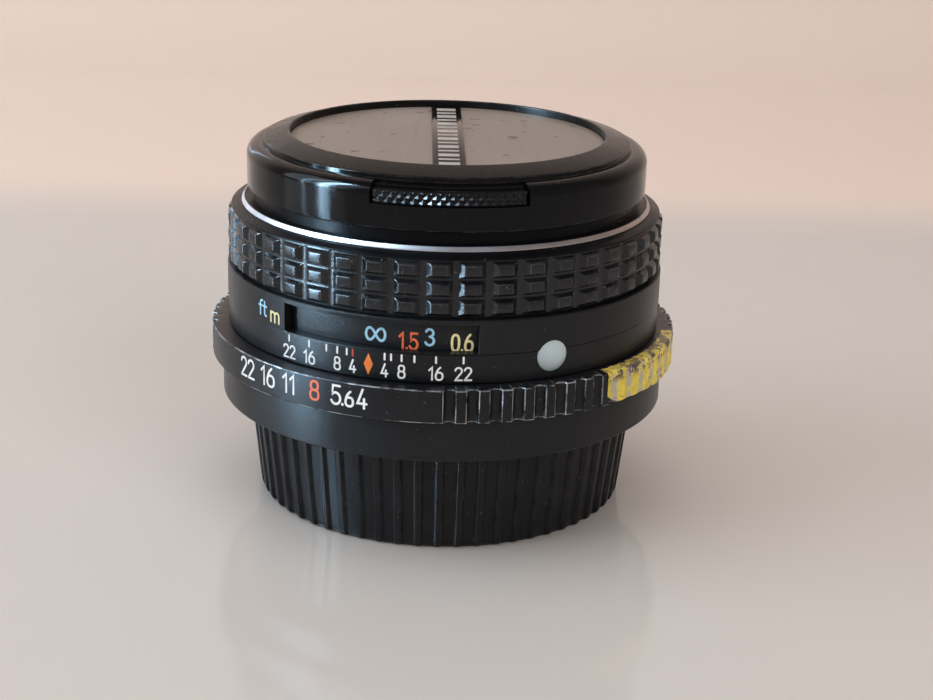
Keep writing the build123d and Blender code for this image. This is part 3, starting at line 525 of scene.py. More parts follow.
# ---------------------------------------------------------------- alignment bead
def bead():
    """A domed bead, turned about its own axis and then stood on the barrel."""
    radius, side, crown = 2.08, 0.9, 1.75
    curve = (radius ** 2 + (crown - side) ** 2) / (2 * (crown - side))
    profile = [(0.0, 0.0), (radius - 0.05, 0.0), (radius, 0.1), (radius, side - 0.12), (radius - 0.02, side - 0.02)]
    for r in np.linspace(radius - 0.08, 0.0, 18):
        profile.append((r, crown - (curve - math.sqrt(curve ** 2 - r ** 2))))
    turns = np.radians(np.arange(96) * 3.75)
    a = math.radians(BEAD_BEARING)
    out = np.array((math.sin(a), -math.cos(a), 0.0))
    side_way = np.array((math.cos(a), math.sin(a), 0.0))
    up = np.array((0.0, 0.0, 1.0))
    rings = np.array([[
        out * (BEAD_ROOT_R + h) + side_way * (r * math.cos(t)) + up * (BEAD_Z + r * math.sin(t)) for r, h in profile
    ] for t in turns])
    points, faces, _ = skin(rings, np.zeros(rings.shape[:2]), False, True)
    return solid("alignment_bead_body", points, faces, BEAD, "barrel", ["alignment_bead"])


bead()

# ---------------------------------------------------------------- rubber grip
COLUMN_PITCH = 360.0 / GRIP_COLUMNS
ROW_PITCH = (GRIP_HIGH - GRIP_LOW) / GRIP_ROWS
FLOOR_HALF = 0.40
OPEN_HALF = 1.1
ROW_FLOOR_HALF = 0.18
ROW_OPEN_HALF = 0.58


def ramp(distance, floor, top):
    """0 on a groove's floor, 1 on the block's top, rounded at both ends."""
    t = (distance - floor) / (top - floor)
    straight = np.clip(t, 0.0, 1.0)
    return straight + 0.055 * (np.exp(-(t / 0.18) ** 2) - np.exp(-((t - 1) / 0.18) ** 2))


def rubber_grip():
    column_steps = (0.0, 0.2, 0.34, 0.40, 0.47, 0.60, 0.85, 1.00, 1.07, 1.13, 1.20, 1.40)
    half_column = math.radians(COLUMN_PITCH / 2) * GRIP_TOP_R
    block_half = (half_column - OPEN_HALF) / GRIP_TOP_R
    distances = [*column_steps, half_column]
    turns = []
    for column in range(GRIP_COLUMNS):
        start = GRIP_FIRST + column * COLUMN_PITCH
        for d in distances:
            turns.append((start + math.degrees(d / GRIP_TOP_R), d))
        for d in reversed(distances[1:-1]):
            turns.append((start + COLUMN_PITCH - math.degrees(d / GRIP_TOP_R), d))
    row_steps = (0.0, 0.12, 0.18, 0.24, 0.36, 0.50, 0.56, 0.61, 0.70)
    heights = []
    for row in range(GRIP_ROWS):
        low = GRIP_LOW + row * ROW_PITCH
        for d in row_steps:
            heights.append((low + d, d))
        heights.append((low + ROW_PITCH / 2, ROW_PITCH / 2))
        for d in reversed(row_steps[1:]):
            heights.append((low + ROW_PITCH - d, d))
    heights.append((GRIP_HIGH, 0.0))
    rise = GRIP_TOP_R - GRIP_BASE_R
    section = [(GRIP_INNER_R, GRIP_LOW)] + [None] * len(heights) + [(GRIP_INNER_R, GRIP_HIGH)]
    size = len(section)
    points, wear = [], []
    for turn, across in turns:
        a = math.radians(turn)
        column_rise = float(ramp(np.array(across), FLOOR_HALF, OPEN_HALF))
        for place in range(size):
            if section[place]:
                r, z = section[place]
                w = 0.0
            else:
                z, up = heights[place - 1]
                row_rise = float(ramp(np.array(up), ROW_FLOOR_HALF, ROW_OPEN_HALF))
                share = min(column_rise, row_rise)
                flat = math.cos(block_half) / math.cos((half_column - across) / GRIP_TOP_R)
                r = GRIP_BASE_R + rise * share + GRIP_TOP_R * (flat - 1) * share
                upright_edge = abs(across - OPEN_HALF) < 0.06 and up > 0.5
                level_edge = abs(up - ROW_OPEN_HALF) < 0.05 and across > 1.0
                w = 1.0 if upright_edge or level_edge else 0.0
            points.append((r * math.sin(a), -r * math.cos(a), z))
            wear.append(w)
    faces = []
    count = len(turns)
    radii = [math.hypot(p[0], p[1]) for p in points]
    for i in range(count):
        k = (i + 1) % count
        for j in range(size):
            n = (j + 1) % size
            a, b, c, d = i * size + j, k * size + j, k * size + n, i * size + n
            lift = radii[a] + radii[c] - radii[b] - radii[d]
            if abs(lift) < 0.01 or j in (0, size - 1):
                faces.append((a, b, c, d))
            elif lift > 0:
                faces += [(a, b, c), (a, c, d)]
            else:
                faces += [(a, b, d), (b, c, d)]
    return solid("rubber_grip_body", points, faces, RUBBER, "focus", ["rubber_grip"],
                 {"wear": wear}, crease=24.0)


rubber_grip()

# ---------------------------------------------------------------- nose
nose_profile = eased([(27.0, 39.62), (28.75, 39.62), (28.75, 39.82), (27.45, 40.25), (27.0, 40.25)], 0.1)
nose_profile[:, 2] = 0.0
turned("nose_ring_body", nose_profile, DARK_SHADED_BLACK, "focus", ["nose_ring"])
lip = [(24.95, 40.32), (27.38, 40.32), (27.36, 40.48), (27.1, 40.9), (26.93, 40.9), (26.93, 40.58), (24.95, 40.58)]
turned("bright_ring_body", eased(lip, 0.05), BRIGHT, "optics", ["bright_ring"])
# The filter ring takes the darker black as painted shade for its wall under the cap.
thread = [(24.2, 40.32), (24.9, 40.32), (24.9, 40.62), (26.9, 40.62), (26.9, 40.87), (25.7, 40.87), (25.7, 43.45),
          (25.55, 43.6), (24.32, 43.6)]
for crest in range(6):
    groove = 43.1 - 0.42 * crest
    thread += [(24.22, groove + 0.17), (24.48, groove), (24.22, groove - 0.17)]
turned("filter_ring_body", eased(thread, 0.04), DARK_SHADED_BLACK, "optics", ["filter_ring"])
bezel = [(19.9, 40.32), (24.15, 40.34), (24.15, 41.2), (23.5, 41.2)]
for step in range(5):
    r = 23.2 - 0.75 * step
    bezel += [(r, 41.14 - 0.1 * step), (r - 0.12, 41.02 - 0.1 * step), (r - 0.55, 41.02 - 0.1 * step)]
bezel.append((19.9, 40.58))
turned("front_bezel_body", eased(bezel, 0.03), INNER_BLACK, "optics", ["front_bezel"])


def lens_face(vertex, curve, rim, steps):
    """Points of a spherical face from its rim to its vertex."""
    rows = []
    for r in np.linspace(rim, 0.0, steps):
        sag = abs(curve) - math.sqrt(curve ** 2 - r ** 2)
        rows.append((r, vertex - math.copysign(sag, curve), 0.0))
    return rows


def element(name, cad_name, rim, front, front_curve, rear, rear_curve, rear_rim):
    profile = lens_face(rear, rear_curve, rear_rim, 26)[::-1]
    if rear_rim < rim:
        profile.append((rim, profile[-1][1], 0.0))
    profile += lens_face(front, front_curve, rim, 40)
    return turned(name, np.array(profile), GLASS, "optics", [cad_name], closed=False,
                  bearings=np.arange(180) * 2.0, crease=50.0)


element("front_element", "lens_element_1", 19.5, 42.9, 60.0, 41.3, 18.0, 14.0)
element("rear_element", "lens_element_8", 9.5, 17.4, 45.0, 14.29, -35.0, 9.5)


# ---------------------------------------------------------------- front cap
def cap_turns():
    turns = []
    for middle in (CAP_TURN, 180.0 + CAP_TURN):
        for side in (-1, 1):
            edge = middle + side * NOTCH_HALF
            turns += [edge - side * 0.02, edge + side * 0.02]
    turns += [turn for turn in np.arange(0, 360, 1.0) if all(abs(turn - t) > 0.3 for t in turns)]
    return np.array(sorted(t % 360 for t in turns))


def in_notch(bearing):
    across = (bearing - CAP_TURN + 90.0) % 180.0 - 90.0
    return abs(across) < NOTCH_HALF


def cap_profile(notched):
    """Half section of the cap from the middle of its underside round to the middle of its cavity floor."""
    rows = [(0.0, 43.65, 0.0), (25.9, 43.65, 0.0)]
    rows += joined([(25.9, 43.6), (25.9, 42.46), (26.45, 42.46), (26.62, 42.62), (26.62, 43.0)], 0.08)
    rows += [(CAP_R, 43.6, 0.0), (CAP_R, 44.3, 0.0), (CAP_R, 45.55, 0.0)]
    shoulder = []
    for turn in np.linspace(0.0, 1.0, 12):
        angle = math.radians(90 * (1 - turn))
        shoulder.append((24.95 + 1.7 * math.sin(angle), 46.62 + 1.55 * math.cos(angle), 0.0))
    upper = [(CAP_R, 45.7, 0.0), (CAP_R, 46.2, 0.0)] + shoulder + [(24.66, 48.19, 0.0)]
    if notched:
        drop = [(26.6, 45.6, 0.0), (24.4, 45.6, 0.0)]
        for z in np.linspace(45.7, 48.15, len(upper) - len(drop)):
            drop.append((24.4, z, 0.0))
        upper = drop
    rows += upper
    rows += joined([(24.62, 48.2), (24.45, 48.14), (24.42, 48.7), (24.1, 48.86), (21.55, 49.6), (21.2, 49.69),
                    (20.98, 49.6), (20.98, 48.5)], 0.07)
    rows += [(20.98, 47.9, 0.0), (25.3, 47.85, 0.0), (25.3, 44.9, 0.0), (0.0, 44.9, 0.0)]
    return np.array(rows)


def front_cap():
    plain, cut = cap_profile(False), cap_profile(True)
    rings, wear = [], []
    for turn in cap_turns():
        a = math.radians(turn)
        rows = cut if in_notch(turn) else plain
        rings.append([(r * math.sin(a), -r * math.cos(a), z) for r, z, _ in rows])
        wear.append(rows[:, 2])
    points, faces, wear = skin(np.array(rings), np.array(wear), False, True)
    piece = solid("cap_shell", points, faces, GLOSS, "front_cap", ["cap_body"], {"wear": wear})
    piece.data.materials.append(CAP_SATIN)
    for face in piece.data.polygons:
        middle = face.center / MM
        if middle.z > 48.4 and math.hypot(middle.x, middle.y) < 24.3:
            face.material_index = 1
    return piece


front_cap()
disc_profile = [(0.0, 48.0, 0.0), (20.8, 48.0, 0.0)]
disc_profile += joined([(20.85, 48.1), (20.9, 48.2), (20.9, 48.7), (20.0, 48.7)], 0.06)
disc_profile += [(r, 48.7, 0.0) for r in (16.0, 12.0, 8.0, 4.0, 0.0)]
turned("cap_disc_body", np.array(disc_profile), DISC, "front_cap", ["cap_disc"], closed=False)


def cap_turned(outline):
    """Turns an outline with the cap."""
    c, s = math.cos(math.radians(CAP_TURN)), math.sin(math.radians(CAP_TURN))
    return [(x * c - y * s, x * s + y * c) for x, y in outline]


def slab(name, outline, low, high, edge, finish, body, stands_for=()):
    """A flat piece: an outline in X and Y, raised from low to high, with its top edge rounded."""
    outline = np.array(outline, float)
    onward = np.roll(outline, -1, 0) - outline
    normal = np.stack([onward[:, 1], -onward[:, 0]], 1)
    normal /= np.linalg.norm(normal, axis=1)[:, None]
    corner = normal + np.roll(normal, 1, 0)
    corner /= np.maximum(np.sum(corner * corner, 1) / 2, 0.5)[:, None]
    rings, wear = [], []
    for inset, height in ((0.0, low), (0.0, high - edge), (0.3 * edge, high - 0.3 * edge), (edge, high)):
        level = outline - corner * inset
        rings.append(np.column_stack([level, np.full(len(level), height)]))
        wear.append(np.full(len(level), 1.0 if 0 < inset < edge else 0.0))
    size = len(outline)
    points = np.concatenate(rings)
    faces = []
    for i in range(3):
        for j in range(size):
            n = (j + 1) % size
            faces.append((i * size + j, i * size + n, (i + 1) * size + n, (i + 1) * size + j))
    faces.append(tuple(range(size)))
    faces.append(tuple(range(3 * size, 4 * size)))
    return solid(name, points, faces, finish, body, stands_for, {"wear": np.concatenate(wear)})


STRIP_R = 20.4
STRIP_SPAN = 5.9
strip_end = [(STRIP_R * math.sin(math.radians(t)), STRIP_R * math.cos(math.radians(t)))
             for t in np.linspace(-STRIP_SPAN, STRIP_SPAN, 9)]
strip_outline = cap_turned([(x, -y) for x, y in strip_end] + [(x, y) for x, y in reversed(strip_end)])
slab("cap_strip_body", strip_outline, 48.69, 49.0, 0.08, GLOSS, "front_cap", ["cap_strip"])
BAR_COUNT = 15
BAR_PITCH = 2.5
BAR_HALF = 1.35
for bar in range(BAR_COUNT):
    middle = (bar - (BAR_COUNT - 1) / 2) * BAR_PITCH
    half = 0.42 if bar % 2 else 0.80
    corners = [(-BAR_HALF, middle - half), (BAR_HALF, middle - half), (BAR_HALF, middle + half),
               (-BAR_HALF, middle + half)]
    slab("strip_bar_" + str(bar + 1), cap_turned(corners), 48.9, 49.008, 0.03, SILVER_PRINT, "front_cap")

KNURL_R = 26.6
KNURL_PITCH = 1.1
KNURL_DROP = 1.26
KNURL_RISE = 0.34
KNURL_LOW = 45.8
KNURL_HIGH = 47.25


def knurl(bearing, radius, height):
    """Two families of slanting grooves leave rows of small points."""
    across = (bearing - CAP_TURN + 90.0) % 180.0 - 90.0
    u = np.radians(across) * KNURL_R / KNURL_PITCH
    v = (height - KNURL_LOW - 0.1) / KNURL_DROP
    first = np.abs((u + v) % 1.0 - 0.5) * 2
    second = np.abs((u - v) % 1.0 - 0.5) * 2
    peak = np.minimum(first, second)
    on_face = (radius > 26.5) & (height > KNURL_LOW) & (height < KNURL_HIGH)
    return np.where(on_face, -KNURL_RISE * (1 - peak), 0.0)


def cap_clip(name, cad_name, body, middle):
    """A clip: its knurled wall with a flat top, the plate behind it, its hook, and a small raised pad on top."""
    wall = [(24.45, 45.72, 0.0), (26.5, 45.72, 0.0), (26.57, KNURL_LOW - 0.03, 0.0)]
    wall += [(26.58, z, 0.0) for z in np.linspace(KNURL_LOW + 0.02, KNURL_HIGH - 0.02, 23)]
    wall += [(26.57, KNURL_HIGH + 0.04, 0.0), (26.5, KNURL_HIGH + 0.1, 0.0), (24.45, KNURL_HIGH + 0.1, 0.0)]
    step = math.degrees(KNURL_PITCH / 12 / KNURL_R)
    count = int(CLIP_HALF / step)
    bearings = middle + np.arange(-count, count + 1) * step
    turned(name + "_wall", np.array(wall), KNURL_PLASTIC, body, [cad_name], relief=knurl,
           bearings=bearings, arc=True, crease=20.0)
    plate = eased([(18.0, 45.05), (24.5, 45.05), (24.5, 46.9), (18.0, 46.9)], 0.1)
    turned(name + "_plate", plate, GLOSS, body, bearings=np.linspace(middle - 18, middle + 18, 37), arc=True)
    pad = eased([(24.9, KNURL_HIGH), (25.75, KNURL_HIGH), (25.75, KNURL_HIGH + 0.2), (24.9, KNURL_HIGH + 0.2)], 0.07)
    turned(name + "_pad", pad, GLOSS, body, bearings=np.linspace(middle - 4.5, middle + 5.5, 21), arc=True)
    hook = eased([(22.75, 42.4), (23.85, 42.4), (23.85, 45.1), (22.75, 45.1)], 0.12)
    turned(name + "_hook", hook, GLOSS, body, bearings=np.linspace(middle - 7.5, middle + 7.5, 16), arc=True)


cap_clip("clip_front", "cap_clip_front", "clip_front", CAP_TURN)
cap_clip("clip_rear", "cap_clip_rear", "clip_rear", 180.0 + CAP_TURN)


# ---------------------------------------------------------------- label
def label():
    """The worn film on the band: it sinks a little into the flutes, and folds over the top edge."""
    left, right = LABEL_SPAN
    turns = np.arange(left, right + 0.01, 0.35)
    steps = 22
    outer, crease, high = [], [], []
    for turn in turns:
        share = (turn - left) / (right - left)
        ragged = 0.10 * math.sin(turn * 1.9) + 0.07 * math.sin(turn * 5.3 + 1.0)
        start = 19.82 + 0.10 * math.sin(share * 7.0) + max(0.0, 1.15 - 9.0 * share) ** 2 * 0.9
        sink = LABEL_SINK * float(smooth_step((0.85 - flute_offset(np.array(turn))) / 0.5))
        column, flute_share, height_share = [], [], []
        for step in range(steps):
            z = start + (24.06 - start) * step / (steps - 1)
            bend = 0.12 * max(0.0, (z - 23.85) / 0.21) ** 2
            column.append((LABEL_R - sink - bend, z))
            flute_share.append(sink / LABEL_SINK)
            height_share.append(smooth_step(np.array((z - 22.3) / 1.2)))
        for r in (31.3, 31.0, 30.5, 30.0 + ragged):
            column.append((r, 24.13))
            flute_share.append(0.3)
            height_share.append(0.8)
        outer.append(column)
        crease.append(flute_share)
        high.append(height_share)
    outer = np.array(outer)
    size = outer.shape[1]
    inner = outer.copy()
    inner[:, :steps, 0] -= LABEL_THICK
    inner[:, steps:, 1] -= LABEL_THICK
    inner[:, steps - 1, 1] -= 0.05
    section = np.concatenate([outer, inner[:, ::-1]], 1)
    a = np.radians(turns)[:, None]
    rings = np.stack([section[..., 0] * np.sin(a), -section[..., 0] * np.cos(a), section[..., 1]], -1)
    crease = np.array(crease)
    high = np.array(high)
    points, faces, creases = skin(rings, np.concatenate([crease, crease[:, ::-1]], 1), True, False)
    faces.append(tuple(range(2 * size)))
    faces.append(tuple(range((len(turns) - 1) * 2 * size, len(turns) * 2 * size)))
    highs = np.concatenate([high, high[:, ::-1]], 1).reshape(-1)
    return solid("label_film_body", points, faces, LABEL, "aperture", ["label_sticker"],
                 {"crease": creases, "high": highs}, crease=60.0)


label()


# ---------------------------------------------------------------- engraved characters
def arc_line(cx, cy, rx, ry, start, end, steps=14):
    """Part of an ellipse; angles in degrees, anticlockwise from the right."""
    return [(cx + rx * math.cos(math.radians(t)), cy + ry * math.sin(math.radians(t)))
            for t in np.linspace(start, end, steps)]


def rounded_loop(cx, cy, rx, ry, steps=33):
    rows = []
    for t in np.linspace(0, 2 * math.pi, steps):
        c, s = math.cos(t), math.sin(t)
        rows.append((cx + rx * math.copysign(abs(c) ** 0.78, c), cy + ry * math.copysign(abs(s) ** 0.78, s)))
    return rows


GLYPHS = {
    "0": (0.50, [rounded_loop(0.25, 0.5, 0.25, 0.5)]),
    "1": (0.30, [[(0.02, 0.76), (0.24, 1.0), (0.24, 0.0)]]),
    "2": (0.50, [arc_line(0.25, 0.745, 0.25, 0.255, 172, -38) + [(0.02, 0.02), (0.02, 0.0), (0.52, 0.0)]]),
    "3": (0.50, [arc_line(0.23, 0.765, 0.22, 0.235, 158, -88), arc_line(0.23, 0.265, 0.26, 0.265, 88, -158)]),
    "4": (0.48, [[(0.27, 1.0), (0.0, 0.24), (0.48, 0.24)], [(0.35, 0.50), (0.35, 0.0)]]),
    "5": (0.50, [[(0.47, 1.0), (0.08, 1.0), (0.04, 0.52)] + arc_line(0.23, 0.315, 0.27, 0.315, 128, -155)]),
    "6": (0.52, [rounded_loop(0.26, 0.30, 0.26, 0.30), [(0.01, 0.36), (0.06, 0.60), (0.18, 0.84), (0.34, 1.0)]]),
    "8": (0.50, [rounded_loop(0.25, 0.76, 0.215, 0.24), rounded_loop(0.25, 0.265, 0.25, 0.265)]),
    ".": (0.16, [[(0.08, 0.03), (0.08, 0.05)]]),
    "oo": (1.20, [[(0.6 + 0.58 * math.cos(t) / (1 + math.sin(t) ** 2),
                    0.5 + 1.42 * math.sin(t) * math.cos(t) / (1 + math.sin(t) ** 2))
                   for t in np.linspace(0, 2 * math.pi, 49)]]),
    "f": (0.36, [arc_line(0.36, 0.80, 0.20, 0.20, 75, 180) + [(0.16, 0.0)], [(0.0, 0.64), (0.36, 0.64)]]),
    "t": (0.36, [[(0.14, 0.95)] + arc_line(0.30, 0.18, 0.16, 0.18, 180, 280), [(0.0, 0.64), (0.36, 0.64)]]),
    "m": (0.86, [[(0.0, 0.70), (0.0, 0.0)], arc_line(0.21, 0.48, 0.21, 0.21, 180, 0) + [(0.42, 0.0)],
                 arc_line(0.63, 0.48, 0.21, 0.21, 180, 0) + [(0.84, 0.0)]]),
}


ROUND_END = (90.0, 62.0, 35.0, 10.0)


def stroke(line, half):
    """Rungs (middle, half width) along a stroke with mitred bends; an open stroke tapers to round ends."""
    pts = [np.array(line[0], float)]
    for p in line[1:]:
        if np.hypot(*(np.array(p) - pts[-1])) > 1e-4:
            pts.append(np.array(p, float))
    pts = np.array(pts)
    step = np.diff(pts, axis=0)
    step /= np.linalg.norm(step, axis=1)[:, None]
    shared = bool(np.hypot(*(pts[0] - pts[-1])) < 1e-3)
    rungs = []
    for i in range(len(pts)):
        before = step[i - 1] if i > 0 else (step[-1] if shared else step[0])
        after = step[i] if i < len(step) else (step[0] if shared else step[-1])
        middle = before + after
        length = np.hypot(*middle)
        middle = middle / length if length > 1e-6 else after
        across = np.array((-middle[1], middle[0]))
        stretch = 1 / max(0.55, abs(float(across @ np.array((-after[1], after[0])))))
        rungs.append((pts[i], across * half * stretch))
    if shared:
        return rungs[:-1], True
    first, last = [], []
    for t in np.radians(ROUND_END):
        first.append((pts[0] - step[0] * half * math.sin(t), rungs[0][1] * max(math.cos(t), 0.04)))
        last.append((pts[-1] + step[-1] * half * math.sin(t), rungs[-1][1] * max(math.cos(t), 0.04)))
    return first + rungs[1:-1] + last[::-1], False


def engraved(name, marks, radius, finish, body):
    """Filled characters wrapped on a cylinder. A mark is (lines in mm, half width, bearing, height)."""
    points, faces = [], []
    for lines, half, bearing, height in marks:
        for line in lines:
            rungs, shared = stroke(line, half)
            base = len(points)
            for middle, across in rungs:
                for lift in (PAINT, PAINT_ROOT):
                    for x, y in (middle + across, middle - across):
                        a = math.radians(bearing) + x / radius
                        r = radius + lift
                        points.append((r * math.sin(a), -r * math.cos(a), height + y))
            count = len(rungs)
            for i in range(count if shared else count - 1):
                p, q = base + 4 * i, base + 4 * ((i + 1) % count)
                faces += [(p, q, q + 1, p + 1), (p + 2, p + 3, q + 3, q + 2), (p, p + 2, q + 2, q),
                          (p + 1, q + 1, q + 3, p + 3)]
            if not shared:
                last = base + 4 * (count - 1)
                faces += [(base, base + 1, base + 3, base + 2), (last, last + 1, last + 3, last + 2)]
    return solid(name, points, faces, finish, body, (), crease=40.0, weld=None)


def word(text, size, bearing, height, half, width=1.0, gap=0.20):
    """Marks of a short text, or a list of glyph names, centred at a bearing and a height."""
    total = sum(GLYPHS[c][0] * width for c in text) + gap * (len(text) - 1)
    start = -total / 2
    marks = []
    for c in text:
        glyph_width, lines = GLYPHS[c]
        strokes = [[((start + x * width) * size, (y - 0.5) * size) for x, y in line] for line in lines]
        marks.append((strokes, half, bearing, height))
        start += glyph_width * width + gap
    return marks


def bar_mark(bearing, low, high, half):
    middle = (low + high) / 2
    return [([[(0.0, low - middle), (0.0, high - middle)]], half, bearing, middle)]


STROKE = 0.155
BAND_SIZE = 2.4
BAND_TEXT_Z = 22.2
aperture_white = []
for text, bearing in (("22", -52.0), ("16", -44.2), ("11", -37.3), ("4", -17.9), ("5", -24.27)):
    aperture_white += word(text, BAND_SIZE, bearing, BAND_TEXT_Z, STROKE)
aperture_white += word(".", BAND_SIZE, -22.63, BAND_TEXT_Z, STROKE + 0.02)
aperture_white += word("6", 1.9, -20.97, 21.95, STROKE)
engraved("aperture_numerals", aperture_white, BAND_R, WHITE_PAINT, "aperture")
engraved("aperture_numeral_accent", word("8", BAND_SIZE, -29.9, BAND_TEXT_Z, STROKE), BAND_R, ORANGE_PAINT,
         "aperture")

INDEX = -18.06
DEPTH_MARKS = ((4.1, "4"), (5.7, ""), (8.3, "8"), (11.4, ""), (16.6, "16"), (23.2, "22"))
depth_white, depth_red = [], []
for spread_angle, text in DEPTH_MARKS:
    for side in (-1, 1):
        tick = bar_mark(INDEX + side * spread_angle, 26.8, 27.55, 0.125)
        if side < 0 and text == "4":
            depth_red += tick
        else:
            depth_white += tick
        if text:
            depth_white += word(text, 1.6, INDEX + side * spread_angle, 25.42, 0.12, gap=0.22)
engraved("depth_scale_marks", depth_white, DEPTH_R, WHITE_PAINT, "barrel")
engraved("depth_scale_accent", depth_red, DEPTH_R, RED_PAINT, "barrel")


def diamond():
    """The index: a tall filled diamond."""
    points = []
    for r in (DEPTH_R + PAINT, DEPTH_R + PAINT_ROOT):
        for x, y in ((0.0, -1.4), (0.60, 0.0), (0.0, 1.4), (-0.60, 0.0)):
            a = math.radians(INDEX) + x / DEPTH_R
            points.append((r * math.sin(a), -r * math.cos(a), 26.0 + y))
    faces = [(0, 1, 2, 3), (4, 5, 6, 7)] + [(i, (i + 1) % 4, 4 + (i + 1) % 4, 4 + i) for i in range(4)]
    return solid("index_diamond", points, faces, INDEX_PAINT, "barrel", (), crease=40.0)


diamond()
engraved("legend_feet", word("ft", 1.9, -51.4, 29.95, 0.13, gap=0.16), SLEEVE_R, BLUE_PAINT, "barrel")
engraved("legend_metres", word("m", 1.9, -46.3, 29.55, 0.13), SLEEVE_R, YELLOW_PAINT, "barrel")

DRUM_SIZE = 2.05
FEET_Z = 29.65
METRES_Z = 29.0
drum_blue = word(["oo"], 1.55, -17.2, 29.5, 0.16, width=1.38)
for text, bearing in (("3", -3.2), ("2", 10.5), ("1.5", 26.0), ("1", 43.0)):
    drum_blue += word(text, DRUM_SIZE, bearing, FEET_Z, STROKE, gap=0.14)
drum_yellow = []
for text, bearing in (("0.6", 4.95), ("0.4", 18.5), ("0.3", 35.0), ("0.25", 54.0)):
    drum_yellow += word(text, DRUM_SIZE, bearing, METRES_Z, STROKE, width=0.84, gap=0.12)
engraved("distance_marks_feet", drum_blue, DRUM_R, BLUE_PAINT, "focus")
engraved("distance_marks_metres", drum_yellow, DRUM_R, YELLOW_PAINT, "focus")
engraved("distance_mark_accent", word("1.5", DRUM_SIZE, -8.65, METRES_Z, STROKE, width=0.9, gap=0.12), DRUM_R,
         ORANGE_PAINT, "focus")

# ---------------------------------------------------------------- finishes of the carried-over CAD nodes
SLOT_LOOKS = {
    "black_anodised": INNER_BLACK, "bright_aluminium": BRIGHT, "mount_steel": CHROME, "bare_steel": STEEL,
    "blackened_steel": BLADE, "cam_brass": BRASS, "grip_rubber": RUBBER, "optical_glass": GLASS,
    "cap_plastic": GLOSS, "cap_disc_plastic": DISC, "rear_cap_plastic": REAR, "bead_plastic": BEAD,
    "label_film": LABEL,
}
NODE_SLOTS = {entry["node"]: entry["material_slot"] for entry in frame["record"]["subparts"]}
for cad_name, cad_object in frame["nodes"].items():
    for place in cad_object.material_slots:
        place.material = SLOT_LOOKS[NODE_SLOTS[cad_name]]

# ---------------------------------------------------------------- stage
WALL_Y = 0.42
TABLE_HALF = 3.0


def sweep_floor():
    """A pale table that curves up into a wall far behind."""
    bend = 0.10
    path = [(-TABLE_HALF, 0.0), (WALL_Y - bend, 0.0)]
    for t in np.linspace(0.1, 1.0, 10):
        angle = math.radians(90 * t)
        path.append((WALL_Y - bend + bend * math.sin(angle), bend - bend * math.cos(angle)))
    path.append((WALL_Y, 1.4))
    mesh = bpy.data.meshes.new("table")
    points = [(x, y, z) for y, z in path for x in (-TABLE_HALF, TABLE_HALF)]
    faces = [(2 * i, 2 * i + 1, 2 * i + 3, 2 * i + 2) for i in range(len(path) - 1)]
    mesh.from_pydata(points, [], faces)
    mesh.shade_smooth()
    table = placed("table", mesh)
    return table


table = sweep_floor()


def table_look():
    """White table, turning to a warm plain wall some way behind the lens."""
    made = surface("table_look", (0.585, 0.56, 0.54), 0.10, patch=6, patch_tint=0.02, rough_spread=0.02,
                   grain=900, grain_rise=0.001, specular=0.5)
    tree = made.node_tree
    shader = tree.nodes["Principled BSDF"]
    near = shader.inputs["Base Color"].links[0].from_socket
    split = node(tree, "ShaderNodeSeparateXYZ")
    tree.links.new(tree.nodes.new("ShaderNodeTexCoord").outputs["Object"], split.inputs[0])
    far = node(tree, "ShaderNodeMapRange", interpolation_type="SMOOTHSTEP")
    far.inputs["From Min"].default_value = 0.135
    far.inputs["From Max"].default_value = 0.185
    tree.links.new(split.outputs["Y"], far.inputs["Value"])
    tree.links.new(blend(tree, far.outputs["Result"], near, (0.80, 0.66, 0.585)), shader.inputs["Base Color"])
    return made


table.data.materials.append(table_look())

world = bpy.data.worlds.new("studio")
bpy.context.scene.world = world
world.use_nodes = True
sky = world.node_tree
glow = sky.nodes["Background"].inputs
glow["Color"].default_value = (0.80, 0.70, 0.64, 1.0)
heading = node(sky, "ShaderNodeSeparateXYZ")
sky.links.new(sky.nodes.new("ShaderNodeTexCoord").outputs["Generated"], heading.inputs[0])
sky.links.new(spread(sky, heading.outputs["Z"], 0.15, 0.85, 0.49, 0.22), glow["Strength"])


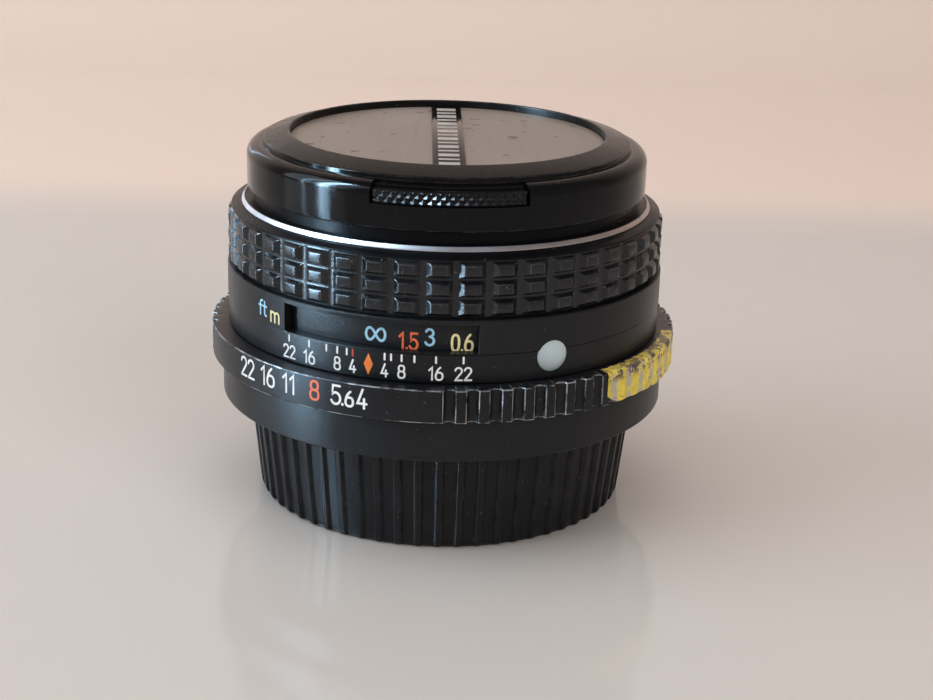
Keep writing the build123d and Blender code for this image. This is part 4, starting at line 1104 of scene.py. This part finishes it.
def lamp(name, place, target, width, height, power, colour):
    data = bpy.data.lights.new(name, "AREA")
    data.shape = "RECTANGLE"
    data.size = width
    data.size_y = height
    data.energy = power
    data.color = colour
    made = placed(name, data)
    made.location = place
    made.rotation_euler = (Vector(target) - Vector(place)).to_track_quat("-Z", "Y").to_euler()
    made.visible_camera = False
    return made


WINDOW_X = -0.62
LENS_MIDDLE = (0.0, 0.0, 0.03)
PANES = ((-0.052, 0.02, 1.5), (-0.202, 0.046, 14.0), (-0.2465, 0.029, 6.0))
for number, (middle, width, power) in enumerate(PANES):
    gleam = lamp("window_gleam_" + str(number + 1), (WINDOW_X, middle, 0.30), LENS_MIDDLE, width, 0.74, power,
                 (0.46, 0.74, 1.0))
    gleam.visible_diffuse = False
lamp("window", (WINDOW_X, -0.12, 0.36), LENS_MIDDLE, 0.60, 0.62, 3.0, (0.80, 0.91, 1.0))
overhead = lamp("soft_top", (-0.15, -0.05, 0.95), (0, 0, 0), 0.9, 0.9, 4.4, (1.0, 0.97, 0.94))
fill = lamp("soft_fill", (0.38, -0.60, 0.42), LENS_MIDDLE, 0.5, 0.5, 2.3, (1.0, 0.98, 0.96))
overhead.visible_glossy = fill.visible_glossy = False

# ---------------------------------------------------------------- camera
YAW, PITCH, ROLL = 0.0141, 0.3230, 0.0290
CAMERA_PLACE = (0.0, -0.23674, 0.09805)
forward = Vector((math.sin(YAW) * math.cos(PITCH), math.cos(YAW) * math.cos(PITCH), -math.sin(PITCH)))
right = Vector((math.cos(YAW), -math.sin(YAW), 0.0))
upward = right.cross(forward)
rolled_right = math.cos(ROLL) * right + math.sin(ROLL) * upward
rolled_up = math.cos(ROLL) * upward - math.sin(ROLL) * right
lens = bpy.data.cameras.new("camera")
lens.lens = 69.453
lens.sensor_width = 36.0
lens.sensor_fit = "HORIZONTAL"
lens.clip_start = 0.01
camera = placed("camera", lens)
turn = Matrix((rolled_right, rolled_up, -forward)).transposed().to_4x4()
turn.translation = Vector(CAMERA_PLACE)
camera.matrix_world = turn
bpy.context.scene.camera = camera
bpy.context.scene.view_settings.view_transform = "Standard"

bpy.context.view_layer.update()
